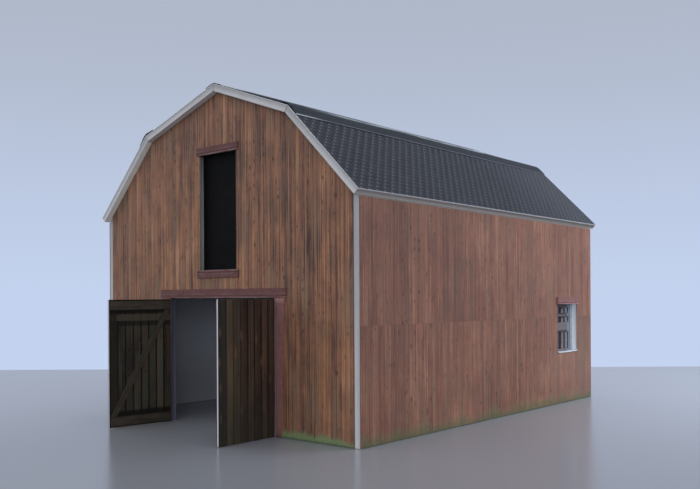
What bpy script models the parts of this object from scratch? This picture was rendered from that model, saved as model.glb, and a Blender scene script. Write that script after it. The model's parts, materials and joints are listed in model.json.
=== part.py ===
"""A model barn of white board and printed paper, built from the sheets that it is cut from.

The front, with the doorway, looks towards -Y. The barn stands on z = 0, and the origin is the middle of the
floor under its bounding box, with both doors open as they are stored. All lengths are metres.
"""

import math

import bmesh
import bpy
from mathutils import Vector

# Overall sizes of the barn
BARN_WIDTH = 0.304
BARN_LENGTH = 0.384
WALL_HEIGHT = 0.178

# The gambrel roof, by the line of the underside of its boards
BREAK_INSET = 0.067
BREAK_RISE = 0.067
RIDGE_RISE = 0.0296
RIDGE_OFF_CENTRE = 0.0035
FRONT_OVERHANG = 0.0055
REAR_OVERHANG = 0.0065
BREAK_STRIP_LEG = 0.012
RIDGE_STRIP_LEG = 0.010

# Thicknesses of the stock, and the glue gap that is left between any two pieces
BOARD = 0.005
LEAF_BOARD = 0.001
PAPER = 0.0003
SLATE_SHEET = 0.0005
FOLDED_STRIP = 0.0004
TRIM_CARD = 0.0006
BACKING_CARD = 0.0008
GAP = 0.0003
WELD = 0.00001

# How far a paper stays above the table, so that the boards alone carry the barn
PAPER_LIFT = 0.0003

# Doorway and its trim
DOORWAY_WIDTH = 0.129
DOORWAY_HEIGHT = 0.1065
DOORWAY_OFF_CENTRE = 0.0045
POST_WIDTH = 0.0105
LINTEL_HEIGHT = 0.0075
LINTEL_REACH = 0.012

# Hayloft opening and its trim
LOFT_WIDTH = 0.045
LOFT_ABOVE_DOOR_LINTEL = 0.009
LOFT_BELOW_RIDGE = 0.0431
LOFT_OFF_CENTRE = 0.0025
LOFT_TRIM_HEIGHT = 0.0065
LOFT_TRIM_REACH = 0.003
BACKING_OVERLAP = 0.008

# Window in the right wall
WINDOW_WIDTH = 0.0445
WINDOW_HEIGHT = 0.0485
WINDOW_SILL_HEIGHT = 0.050
WINDOW_FROM_REAR = 0.0337
WINDOW_MARGIN = 0.0025
WINDOW_CARD_OVERLAP = 0.006
WINDOW_LINTEL_HEIGHT = 0.007
WINDOW_LINTEL_REACH = 0.002
WINDOW_SILL_PROUD = 0.0008
STILE = 0.005
MULLION = 0.0046
END_RAIL = 0.003
UPPER_BAR = 0.0036
LOWER_PANE_SHARE = 0.42
MIDDLE_RAIL_SHARE = 0.2

# Door leaves: each fold lies on the leaf's outer face, at the edge of the doorway
LEAF_FOLD_CLEARANCE = 0.0004
LEAF_MEETING_GAP = 0.016
LEAF_FLOOR_CLEARANCE = 0.0005
LEAF_HEAD_CLEARANCE = 0.001
LEDGE_HEIGHT = 0.008
LEDGE_INSET = 0.0008
BRACE_WIDTH = 0.0056
LEFT_LEAF_OPEN = math.radians(98)
RIGHT_LEAF_OPEN = math.radians(91)

# Overrun of a cutter past the faces that it cuts
OVERRUN = 0.002

# Sheets stand upright facing the front, or facing a side
FACING_FRONT = (math.pi / 2, 0, 0)
FACING_SIDE = (math.pi / 2, 0, math.pi / 2)

# Colour, roughness and metallic value of each kind of surface
FINISHES = {
    "white_board": ((0.62, 0.63, 0.67), 0.75, 0.0),
    "front_wood_paper": ((0.21, 0.10, 0.055), 0.6, 0.0),
    "side_wood_paper": ((0.19, 0.085, 0.055), 0.6, 0.0),
    "slate_sheet": ((0.045, 0.05, 0.065), 0.55, 0.0),
    "dark_strip": ((0.04, 0.045, 0.055), 0.6, 0.0),
    "red_brown_card": ((0.115, 0.042, 0.045), 0.6, 0.0),
    "leaf_outer_paper": ((0.032, 0.020, 0.014), 0.6, 0.0),
    "leaf_inner_paper": ((0.022, 0.018, 0.014), 0.65, 0.0),
    "ledge_card": ((0.04, 0.03, 0.023), 0.65, 0.0),
    "black_card": ((0.006, 0.006, 0.007), 0.8, 0.0),
    "window_card": ((0.6, 0.63, 0.7), 0.7, 0.0),
    "window_bar_card": ((0.2, 0.21, 0.24), 0.6, 0.0),
    "window_film": ((0.02, 0.018, 0.02), 0.25, 0.0),
}

# Places that follow from the sizes above
HALF_WIDTH = BARN_WIDTH / 2
BREAK_HEIGHT = WALL_HEIGHT + BREAK_RISE
RIDGE_HEIGHT = BREAK_HEIGHT + RIDGE_RISE
LOFT_SILL_HEIGHT = DOORWAY_HEIGHT + LINTEL_HEIGHT + LOFT_ABOVE_DOOR_LINTEL + LOFT_TRIM_HEIGHT
LOFT_TOP_HEIGHT = RIDGE_HEIGHT - LOFT_BELOW_RIDGE - LOFT_TRIM_HEIGHT
SLATE_STAND_OFF = BOARD + GAP
STRIP_STAND_OFF = SLATE_STAND_OFF + SLATE_SHEET + GAP
TRIM_STAND_OFF = GAP + PAPER + GAP
FOLD_STAND_OFF = TRIM_STAND_OFF + TRIM_CARD + GAP
LEAF_WIDTH = (DOORWAY_WIDTH - LEAF_MEETING_GAP) / 2 - LEAF_FOLD_CLEARANCE
LEAF_BOARD_DEPTH = PAPER + GAP
LEAF_INNER_PAPER_DEPTH = LEAF_BOARD_DEPTH + LEAF_BOARD + GAP
LEDGE_DEPTH = LEAF_INNER_PAPER_DEPTH + PAPER + GAP


def leaf_reach(opened):
    """How far in front of its fold a leaf of this opening stands."""
    tip = LEAF_FOLD_CLEARANCE + LEAF_WIDTH
    depths = (0, LEAF_INNER_PAPER_DEPTH + PAPER)
    return max(tip * math.sin(opened) - depth * math.cos(opened) for depth in depths)


DOOR_REACH = FOLD_STAND_OFF + max(leaf_reach(LEFT_LEAF_OPEN), leaf_reach(RIGHT_LEAF_OPEN))
FRONT_Y = (DOOR_REACH - BARN_LENGTH - REAR_OVERHANG) / 2
REAR_Y = FRONT_Y + BARN_LENGTH
MIDDLE_Y = (FRONT_Y + REAR_Y) / 2
ROOF_LENGTH = FRONT_OVERHANG + BARN_LENGTH + REAR_OVERHANG
ROOF_MIDDLE_Y = (FRONT_Y - FRONT_OVERHANG + REAR_Y + REAR_OVERHANG) / 2


def clear_scene():
    for thing in list(bpy.data.objects):
        bpy.data.objects.remove(thing, do_unlink=True)


def new_collection(name):
    collection = bpy.data.collections.new(name)
    bpy.context.scene.collection.children.link(collection)
    return collection


def finish(thing, kind):
    """Give a piece its own material, with the look of its kind of surface."""
    colour, roughness, metallic = FINISHES[kind]
    material = bpy.data.materials.new(thing.name)
    material.use_nodes = True
    shader = material.node_tree.nodes["Principled BSDF"]
    shader.inputs["Base Color"].default_value = (*colour, 1.0)
    shader.inputs["Roughness"].default_value = roughness
    shader.inputs["Metallic"].default_value = metallic
    thing.data.materials.append(material)


def rectangle(left, bottom, right, top):
    return [(left, bottom), (right, bottom), (right, top), (left, top)]


def cut_sheet(name, kind, outlines, thickness, location, rotation, parent=None):
    """A sheet cut to its first outline, with the other outlines as holes, centred on its location."""
    curve = bpy.data.curves.new(name, "CURVE")
    curve.dimensions = "2D"
    curve.fill_mode = "BOTH"
    curve.extrude = thickness / 2
    for outline in outlines:
        spline = curve.splines.new("POLY")
        spline.points.add(len(outline) - 1)
        for point, (across, up) in zip(spline.points, outline):
            point.co = (across, up, 0, 1)
        spline.use_cyclic_u = True
    pattern = bpy.data.objects.new(name, curve)
    PIECES.objects.link(pattern)
    mesh = bpy.data.meshes.new_from_object(pattern.evaluated_get(bpy.context.evaluated_depsgraph_get()))
    bpy.data.objects.remove(pattern)
    bpy.data.curves.remove(curve)
    weld(mesh)
    mesh.name = name
    sheet = bpy.data.objects.new(name, mesh)
    PIECES.objects.link(sheet)
    sheet.location = location
    sheet.rotation_euler = rotation
    sheet.parent = parent
    finish(sheet, kind)
    return sheet


def weld(mesh):
    """Join the caps of a cut sheet to its edges."""
    shape = bmesh.new()
    shape.from_mesh(mesh)
    bmesh.ops.remove_doubles(shape, verts=shape.verts, dist=WELD)
    bmesh.ops.recalc_face_normals(shape, faces=shape.faces)
    shape.to_mesh(mesh)
    shape.free()


def cut_box(target, name, centre, size):
    """Cut a box-shaped opening through a piece."""
    bpy.ops.mesh.primitive_cube_add(size=1, location=centre)
    cutter = bpy.context.active_object
    cutter.name = name
    cutter.scale = size
    bpy.ops.object.transform_apply(location=False, rotation=False, scale=True)
    for collection in list(cutter.users_collection):
        collection.objects.unlink(cutter)
    CUTTERS.objects.link(cutter)
    cutter.hide_render = True
    cutter.display_type = "WIRE"
    cut = target.modifiers.new(name, "BOOLEAN")
    cut.operation = "DIFFERENCE"
    cut.solver = "EXACT"
    cut.object = cutter


def roof_base():
    return [
        Vector((-HALF_WIDTH, WALL_HEIGHT)),
        Vector((-HALF_WIDTH + BREAK_INSET, BREAK_HEIGHT)),
        Vector((RIDGE_OFF_CENTRE, RIDGE_HEIGHT)),
        Vector((HALF_WIDTH - BREAK_INSET, BREAK_HEIGHT)),
        Vector((HALF_WIDTH, WALL_HEIGHT)),
    ]


def roof_directions():
    base = roof_base()
    return [(end - start).normalized() for start, end in zip(base, base[1:])]


def roof_line(stand_off):
    """The five corners of the gable line at a stand-off from the underside of the roof boards."""
    base = roof_base()
    normals = [Vector((-way.y, way.x)) for way in roof_directions()]
    corners = [base[0] + normals[0] * stand_off]
    for corner, before, after in zip(base[1:-1], normals, normals[1:]):
        corners.append(corner + (before + after) * stand_off / (1 + before.dot(after)))
    corners.append(base[-1] + normals[-1] * stand_off)
    return corners


def roof_height(across, stand_off):
    """Height of the gable line over a place across the barn, run on past its ends."""
    corners = roof_line(stand_off)
    inner = [corner.x for corner in corners[1:-1]]
    index = sum(across > edge for edge in inner)
    start, end = corners[index], corners[index + 1]
    return start.y + (end.y - start.y) * (across - start.x) / (end.x - start.x)


def slope_section(index, low, high):
    """Section of one roof slope between two stand-offs, with half a gap left at each mitre."""
    way = roof_directions()[index]
    start_trim = way * (GAP / 2 if index > 0 else 0)
    end_trim = way * (GAP / 2 if index < len(roof_directions()) - 1 else 0)
    under, over = roof_line(low), roof_line(high)
    return [
        under[index] + start_trim,
        under[index + 1] - end_trim,
        over[index + 1] - end_trim,
        over[index] + start_trim,
    ]


def fold_section(index, leg):
    """Section of a strip folded over one corner of the roof."""
    before, after = roof_directions()[index - 1], roof_directions()[index]
    path = []
    for stand_off in (STRIP_STAND_OFF, STRIP_STAND_OFF + FOLDED_STRIP):
        corner = roof_line(stand_off)[index]
        path.append([corner - before * leg, corner, corner + after * leg])
    return path[0] + path[1][::-1]


def gable_outline(bottom, doorway=False):
    """Outline of an end wall between the side walls, up to the roof boards."""
    edge = HALF_WIDTH - BOARD - GAP
    corners = roof_line(-GAP)
    outline = [(-edge, bottom)]
    if doorway:
        left, right = doorway_edges()
        outline += [(left, bottom), (left, DOORWAY_HEIGHT), (right, DOORWAY_HEIGHT), (right, bottom)]
    outline += [(edge, bottom), (edge, roof_height(edge, -GAP))]
    outline += [tuple(corner) for corner in corners[3:0:-1]]
    outline += [(-edge, roof_height(-edge, -GAP))]
    return outline


def doorway_edges():
    return DOORWAY_OFF_CENTRE - DOORWAY_WIDTH / 2, DOORWAY_OFF_CENTRE + DOORWAY_WIDTH / 2


def loft_edges():
    return LOFT_OFF_CENTRE - LOFT_WIDTH / 2, LOFT_OFF_CENTRE + LOFT_WIDTH / 2


def loft_opening(grow=0):
    left, right = loft_edges()
    return rectangle(left - grow, LOFT_SILL_HEIGHT - grow, right + grow, LOFT_TOP_HEIGHT + grow)


def window_edges():
    far = REAR_Y - WINDOW_FROM_REAR
    return far - WINDOW_WIDTH, far


def window_opening(grow=0, grow_up=0):
    near, far = window_edges()
    top = WINDOW_SILL_HEIGHT + WINDOW_HEIGHT
    return rectangle(near - grow, WINDOW_SILL_HEIGHT - grow_up, far + grow, top + grow_up)


def build_end_walls():
    front = [gable_outline(0, doorway=True), loft_opening()]
    cut_sheet("front_wall", "white_board", front, BOARD, (0, FRONT_Y + BOARD / 2, 0), FACING_FRONT)
    rear = [gable_outline(0)]
    cut_sheet("rear_wall", "white_board", rear, BOARD, (0, REAR_Y - BOARD / 2, 0), FACING_FRONT)
    front_paper = [gable_outline(PAPER_LIFT, doorway=True), loft_opening()]
    place = (0, FRONT_Y - GAP - PAPER / 2, 0)
    cut_sheet("front_paper", "front_wood_paper", front_paper, PAPER, place, FACING_FRONT)
    place = (0, REAR_Y + GAP + PAPER / 2, 0)
    cut_sheet("rear_paper", "front_wood_paper", [gable_outline(PAPER_LIFT)], PAPER, place, FACING_FRONT)


def build_side_walls():
    """Side walls run the whole length, so that their white ends show at the corners."""
    inner = HALF_WIDTH - BOARD
    section = [
        (inner, 0),
        (HALF_WIDTH, 0),
        (HALF_WIDTH, roof_height(HALF_WIDTH, -GAP)),
        (inner, roof_height(inner, -GAP)),
    ]
    mirrored = [(-across, up) for across, up in section]
    place = (0, MIDDLE_Y, 0)
    right = cut_sheet("right_wall", "white_board", [section], BARN_LENGTH, place, FACING_FRONT)
    cut_sheet("left_wall", "white_board", [mirrored], BARN_LENGTH, place, FACING_FRONT)
    near, far = window_edges()
    centre = (HALF_WIDTH - BOARD / 2, (near + far) / 2, WINDOW_SILL_HEIGHT + WINDOW_HEIGHT / 2)
    cut_box(right, "window_cutter", centre, (BOARD + OVERRUN, WINDOW_WIDTH, WINDOW_HEIGHT))
    face = rectangle(FRONT_Y, PAPER_LIFT, REAR_Y, roof_height(HALF_WIDTH, -GAP))
    reach = HALF_WIDTH + GAP + PAPER / 2
    outlines = [face, window_opening()]
    cut_sheet("right_paper", "side_wood_paper", outlines, PAPER, (reach, 0, 0), FACING_SIDE)
    cut_sheet("left_paper", "side_wood_paper", [face], PAPER, (-reach, 0, 0), FACING_SIDE)


def build_roof():
    place = (0, ROOF_MIDDLE_Y, 0)
    slopes = ("lower_left", "upper_left", "upper_right", "lower_right")
    for index, slope in enumerate(slopes):
        section = slope_section(index, 0, BOARD)
        cut_sheet(f"roof_board_{slope}", "white_board", [section], ROOF_LENGTH, place, FACING_FRONT)
        section = slope_section(index, SLATE_STAND_OFF, SLATE_STAND_OFF + SLATE_SHEET)
        cut_sheet(f"slate_sheet_{slope}", "slate_sheet", [section], ROOF_LENGTH, place, FACING_FRONT)
    strips = (
        ("break_strip_left", BREAK_STRIP_LEG),
        ("ridge_strip", RIDGE_STRIP_LEG),
        ("break_strip_right", BREAK_STRIP_LEG),
    )
    for index, (name, leg) in enumerate(strips, start=1):
        cut_sheet(name, "dark_strip", [fold_section(index, leg)], ROOF_LENGTH, place, FACING_FRONT)


def build_doorway_trim():
    left, right = doorway_edges()
    place = (0, FRONT_Y - TRIM_STAND_OFF - TRIM_CARD / 2, 0)
    post_top = DOORWAY_HEIGHT - GAP
    pieces = (
        ("door_post_left", rectangle(left - POST_WIDTH, PAPER_LIFT, left, post_top)),
        ("door_post_right", rectangle(right, PAPER_LIFT, right + POST_WIDTH, post_top)),
        ("door_lintel", rectangle(
            left - LINTEL_REACH, DOORWAY_HEIGHT, right + LINTEL_REACH, DOORWAY_HEIGHT + LINTEL_HEIGHT)),
    )
    for name, outline in pieces:
        cut_sheet(name, "red_brown_card", [outline], TRIM_CARD, place, FACING_FRONT)


def build_loft():
    left, right = loft_edges()
    place = (0, FRONT_Y - TRIM_STAND_OFF - TRIM_CARD / 2, 0)
    reach = LOFT_TRIM_REACH
    lintel_top = LOFT_TOP_HEIGHT + LOFT_TRIM_HEIGHT
    lintel = rectangle(left - reach, LOFT_TOP_HEIGHT, right + reach, lintel_top)
    sill = rectangle(left - reach, LOFT_SILL_HEIGHT - LOFT_TRIM_HEIGHT, right + reach, LOFT_SILL_HEIGHT)
    cut_sheet("loft_lintel", "red_brown_card", [lintel], TRIM_CARD, place, FACING_FRONT)
    cut_sheet("loft_sill", "red_brown_card", [sill], TRIM_CARD, place, FACING_FRONT)
    place = (0, FRONT_Y + BOARD + GAP + BACKING_CARD / 2, 0)
    backing = [loft_opening(BACKING_OVERLAP)]
    cut_sheet("loft_backing", "black_card", backing, BACKING_CARD, place, FACING_FRONT)


def window_bar_outlines():
    """The frame of the window and its six panes: two pairs over the middle rail and one pair below it."""
    near, far = window_edges()
    left, right = near + WINDOW_MARGIN + GAP, far - WINDOW_MARGIN - GAP
    bottom, top = WINDOW_SILL_HEIGHT + GAP, WINDOW_SILL_HEIGHT + WINDOW_HEIGHT - GAP
    middle = (left + right) / 2
    height = top - bottom
    lower_top = bottom + height * LOWER_PANE_SHARE
    upper_bottom = lower_top + height * MIDDLE_RAIL_SHARE
    upper_top = top - END_RAIL
    bar_bottom = (upper_bottom + upper_top - UPPER_BAR) / 2
    outlines = [rectangle(left, bottom, right, top)]
    rows = (
        (bottom + END_RAIL, lower_top),
        (upper_bottom, bar_bottom),
        (bar_bottom + UPPER_BAR, upper_top),
    )
    columns = ((left + STILE, middle - MULLION / 2), (middle + MULLION / 2, right - STILE))
    for low, high in rows:
        for start, end in columns:
            outlines.append(rectangle(start, low, end, high))
    return outlines


def build_window():
    """A white card with a cut-out lies behind the opening, with the bars in it and dark film behind them."""
    inner = HALF_WIDTH - BOARD
    card_x = inner - GAP - BACKING_CARD / 2
    overlap = WINDOW_CARD_OVERLAP
    card = [window_opening(overlap, overlap), window_opening(-WINDOW_MARGIN)]
    cut_sheet("window_card", "window_card", card, BACKING_CARD, (card_x, 0, 0), FACING_SIDE)
    cut_sheet("window_bars", "window_bar_card", window_bar_outlines(), BACKING_CARD, (card_x, 0, 0), FACING_SIDE)
    film_x = card_x - BACKING_CARD / 2 - GAP - PAPER / 2
    film = [window_opening(overlap / 2, overlap / 2)]
    cut_sheet("window_film", "window_film", film, PAPER, (film_x, 0, 0), FACING_SIDE)
    near, far = window_edges()
    top = WINDOW_SILL_HEIGHT + WINDOW_HEIGHT
    lintel_x = HALF_WIDTH + TRIM_STAND_OFF + TRIM_CARD / 2
    reach = WINDOW_LINTEL_REACH
    lintel = rectangle(near - reach, top, far + reach, top + WINDOW_LINTEL_HEIGHT)
    cut_sheet("window_lintel", "red_brown_card", [lintel], TRIM_CARD, (lintel_x, 0, 0), FACING_SIDE)
    proud = HALF_WIDTH + GAP + PAPER + WINDOW_SILL_PROUD
    sill_bottom = WINDOW_SILL_HEIGHT + GAP
    sill = rectangle(inner + GAP, sill_bottom, proud, sill_bottom + TRIM_CARD)
    place = (0, (near + far) / 2, 0)
    length = WINDOW_WIDTH - GAP - GAP
    cut_sheet("window_sill", "window_card", [sill], length, place, FACING_FRONT)


def brace_outline(start, end, bottom, top):
    """A slanting strip from the foot at the free edge to the head at the fold."""
    width = math.copysign(BRACE_WIDTH, end - start)
    return [(end - width, bottom), (end, bottom), (start + width, top), (start, top)]


def build_leaf(side, fold_x, way, opened):
    """One door leaf, drawn closed from its fold and turned open about it."""
    fold = bpy.data.objects.new(f"{side}_fold", None)
    PIECES.objects.link(fold)
    fold.location = (fold_x, FRONT_Y - FOLD_STAND_OFF, 0)
    fold.rotation_euler = (0, 0, -way * opened)
    start = way * LEAF_FOLD_CLEARANCE
    end = way * (LEAF_FOLD_CLEARANCE + LEAF_WIDTH)
    bottom, top = LEAF_FLOOR_CLEARANCE, DOORWAY_HEIGHT - LEAF_HEAD_CLEARANCE
    face = rectangle(min(start, end), bottom, max(start, end), top)
    layers = (
        ("outer_paper", "leaf_outer_paper", PAPER, 0),
        ("board", "white_board", LEAF_BOARD, LEAF_BOARD_DEPTH),
        ("inner_paper", "leaf_inner_paper", PAPER, LEAF_INNER_PAPER_DEPTH),
    )
    for layer, kind, thickness, depth in layers:
        place = (0, depth + thickness / 2, 0)
        cut_sheet(f"{side}_leaf_{layer}", kind, [face], thickness, place, FACING_FRONT, fold)
    first, last = start + way * LEDGE_INSET, end - way * LEDGE_INSET
    low, high = min(first, last), max(first, last)
    foot, head = bottom + LEDGE_INSET, top - LEDGE_INSET
    strips = (
        ("bottom_ledge", rectangle(low, foot, high, foot + LEDGE_HEIGHT)),
        ("top_ledge", rectangle(low, head - LEDGE_HEIGHT, high, head)),
        ("brace", brace_outline(first, last, foot + LEDGE_HEIGHT + GAP, head - LEDGE_HEIGHT - GAP)),
    )
    place = (0, LEDGE_DEPTH + TRIM_CARD / 2, 0)
    for strip, outline in strips:
        cut_sheet(f"{side}_leaf_{strip}", "ledge_card", [outline], TRIM_CARD, place, FACING_FRONT, fold)


def main():
    build_end_walls()
    build_side_walls()
    build_roof()
    build_doorway_trim()
    build_loft()
    build_window()
    left, right = doorway_edges()
    build_leaf("left", left, 1, LEFT_LEAF_OPEN)
    build_leaf("right", right, -1, RIGHT_LEAF_OPEN)


clear_scene()
PIECES = new_collection("model_barn")
CUTTERS = new_collection("cutters")
main()
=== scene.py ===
"""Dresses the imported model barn: plank papers, foam board edges, slates, doors, and the stage."""

import json
import math
from typing import NamedTuple

import bmesh
import bpy
from bpy.props import FloatProperty, FloatVectorProperty, IntProperty, PointerProperty
from mathutils import Matrix, Vector, noise


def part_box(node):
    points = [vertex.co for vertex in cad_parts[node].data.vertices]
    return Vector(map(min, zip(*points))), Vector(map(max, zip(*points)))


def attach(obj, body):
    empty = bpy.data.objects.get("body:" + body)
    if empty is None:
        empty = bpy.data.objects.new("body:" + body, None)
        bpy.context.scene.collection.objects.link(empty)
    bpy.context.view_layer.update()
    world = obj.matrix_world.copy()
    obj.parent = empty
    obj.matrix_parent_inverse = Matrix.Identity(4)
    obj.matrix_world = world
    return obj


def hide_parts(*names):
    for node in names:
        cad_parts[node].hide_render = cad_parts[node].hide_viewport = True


bl_info = {
    "name": "Model Barn Dresser",
    "version": (1, 0, 0),
    "blender": (4, 5, 0),
    "location": "3D View > Sidebar > Barn",
    "description": "Builds the visible pieces and finishes of a model barn of board and printed paper",
    "category": "Object",
}

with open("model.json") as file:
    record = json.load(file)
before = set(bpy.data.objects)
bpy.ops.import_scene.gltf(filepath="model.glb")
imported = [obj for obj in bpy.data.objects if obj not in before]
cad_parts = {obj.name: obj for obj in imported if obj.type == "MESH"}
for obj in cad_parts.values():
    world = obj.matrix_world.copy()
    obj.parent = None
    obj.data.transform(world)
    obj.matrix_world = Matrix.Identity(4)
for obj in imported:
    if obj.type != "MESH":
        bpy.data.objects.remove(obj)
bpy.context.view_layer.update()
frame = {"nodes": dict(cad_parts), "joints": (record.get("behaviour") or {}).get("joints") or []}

# Places read from the frame
FRONT_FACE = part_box("front_wall")[0].y
REAR_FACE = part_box("rear_wall")[1].y
HALF_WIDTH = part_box("right_wall")[1].x
EAVE_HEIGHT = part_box("right_wall")[1].z
GLUE_GAP = FRONT_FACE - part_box("front_paper")[1].y
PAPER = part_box("front_paper")[1].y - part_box("front_paper")[0].y
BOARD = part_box("front_wall")[1].y - FRONT_FACE
LOFT_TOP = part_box("loft_lintel")[0].z
BARN_MIDDLE = Vector((0, (FRONT_FACE + REAR_FACE) / 2, EAVE_HEIGHT / 2))

# Limits for reading, joining and shading meshes
# A rounded edge bends in steps of 30 degrees, so CREASE and ALIKE stay clear of that angle
WELD = 0.00001
FLAT = math.radians(1)
SHARP = math.radians(30)
CREASE = math.radians(26)
ALIKE = math.radians(26)
BLUNT = math.radians(60)
FACING = 0.95
SIDEWAYS = 0.1

# Size of the picture and of the camera's film
PICTURE_WIDTH = 700
FILM_WIDTH = 36

# The slopes of the roof, from the left eave over the ridge to the right eave
SLOPES = ("lower_left", "upper_left", "upper_right", "lower_right")

# Parts of the side prints: darker runs of planks, as lengths from the front wall
DARK_COLUMNS = {
    "near_low": ((0.046, 0.058),),
    "near_high": ((0.118, 0.133),),
    "far_low": ((0.345, 0.384),),
}
PRINT_SOFTNESS = 0.001

# Where painted shade deepens the side prints by the front and painted light pales them by the rear: along the
# wall, then up it
SIDE_SHADE_PART = ((FRONT_FACE + 0.02, FRONT_FACE + 0.12), (0.03, 0.13))
SIDE_LIGHT_PART = ((FRONT_FACE + 0.26, FRONT_FACE + 0.36), (0.04, 0.11))

# Lengths from one end of a slope over which a painted sheen makes its slates paler
SLATE_SHEEN = (0.01, 0.17)

# Heights between which painted shade darkens the inside of the walls towards the table
INSIDE_SHADE = (0.015, 0.080)

# Heights of the dark rails printed across the window bars, and the depth of the top one
WINDOW_RAILS = ((0.0697, 0.0722), (0.0842, 0.0865), (0.0879, 0.0895))
TOP_RAIL = 0.0045
RAIL_SOFTNESS = 0.00015

# Reach of the floor to the sides and towards the camera, and where painted shade dims its near part
FLOOR_SIDE = 3
FLOOR_NEAR = 5
FLOOR_SHADE = (0.3, 0.85)

# Places of the two lamps and the points that they look at
FAR_LAMP = (
    Vector((HALF_WIDTH + 0.45, REAR_FACE + 0.27, 0.33)), Vector((HALF_WIDTH, REAR_FACE - 0.03, 0.07))
)
FRONT_LAMP = (Vector((0.70, FRONT_FACE - 0.80, 0.28)), Vector((0, FRONT_FACE, 0.06)))


def length(name, description, default):
    return FloatProperty(
        name=name, description=description, default=default, min=0, precision=5, unit="LENGTH"
    )


def share(name, description, default, most=1.0):
    return FloatProperty(name=name, description=description, default=default, min=0, max=most)


def colour(name, description, default):
    return FloatVectorProperty(
        name=name, description=description, default=default, min=0, max=1, subtype="COLOR"
    )


def scaled(tint, factor):
    """A colour made lighter or darker by a factor."""
    return tuple(factor * part for part in tint)


def between(first, second, part):
    """The colour that lies a given part of the way from the first to the second."""
    return tuple((1 - part) * a + part * b for a, b in zip(first, second))


class BarnSizes(bpy.types.PropertyGroup):
    """Sizes of the details that the scene adds to the barn."""

    edge_round: length("Edge rounding", "Rounding of a cut board edge", 0.00022)
    liner: length("Liner", "Paper liner on each face of the foam board", 0.0004)
    foam_sink: length("Foam sink", "How far the foam lies back between its liners", 0.00012)
    card_round: length("Card rounding", "Rounding of a thin card's edge", 0.0001)
    plank: length("Wall plank", "Width of a printed wall plank", 0.00435)
    leaf_planks: IntProperty(
        name="Leaf planks", description="Printed planks on each door leaf", default=8, min=1
    )
    seam_height: length("Print seam height", "Where the upper and lower side prints meet", 0.086)
    seam_from_front: length("Print seam from front", "Where the near and far side prints meet", 0.239)
    seam: length("Print seam", "Gap between two side prints", 0.00006)
    grass: length("Grass", "Height of the tallest printed grass", 0.0085)
    side_grass: length("Side grass", "Height of the tallest printed grass on the side walls", 0.0150)
    slate_width: length("Slate width", "Width of one slate along the barn", 0.009)
    slate_show: length("Slate exposure", "What shows of one slate down the slope", 0.00472)
    slate_relief: length("Slate relief", "Height of a slate's foot over the sheet", 0.00014)
    slate_riser: length("Slate riser", "Run of the drop at a slate's foot", 0.0002)
    slate_joint: length("Slate joint", "Half the width of the groove between two slates", 0.00022)
    fold_round: length("Fold rounding", "Reach of the rounding at a strip's fold", 0.0022)
    ragged: length("Ragged edge", "How far a hand-cut edge wanders", 0.00028)
    strip_joint: length("Strip joint", "Where a strip's two lengths meet, from the front wall", 0.273)
    fold_lift: length("Fold lift", "How far a strip's fold stands off the roof", 0.0012)
    post_taper: length("Post taper", "How much narrower a door post is at its foot", 0.0045)
    sill_bow: length("Sill bow", "How far the window sill's middle sags", 0.0005)
    trim_line: length("Trim line", "Width of the pale line along the trim's inner edge", 0.0009)


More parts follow.
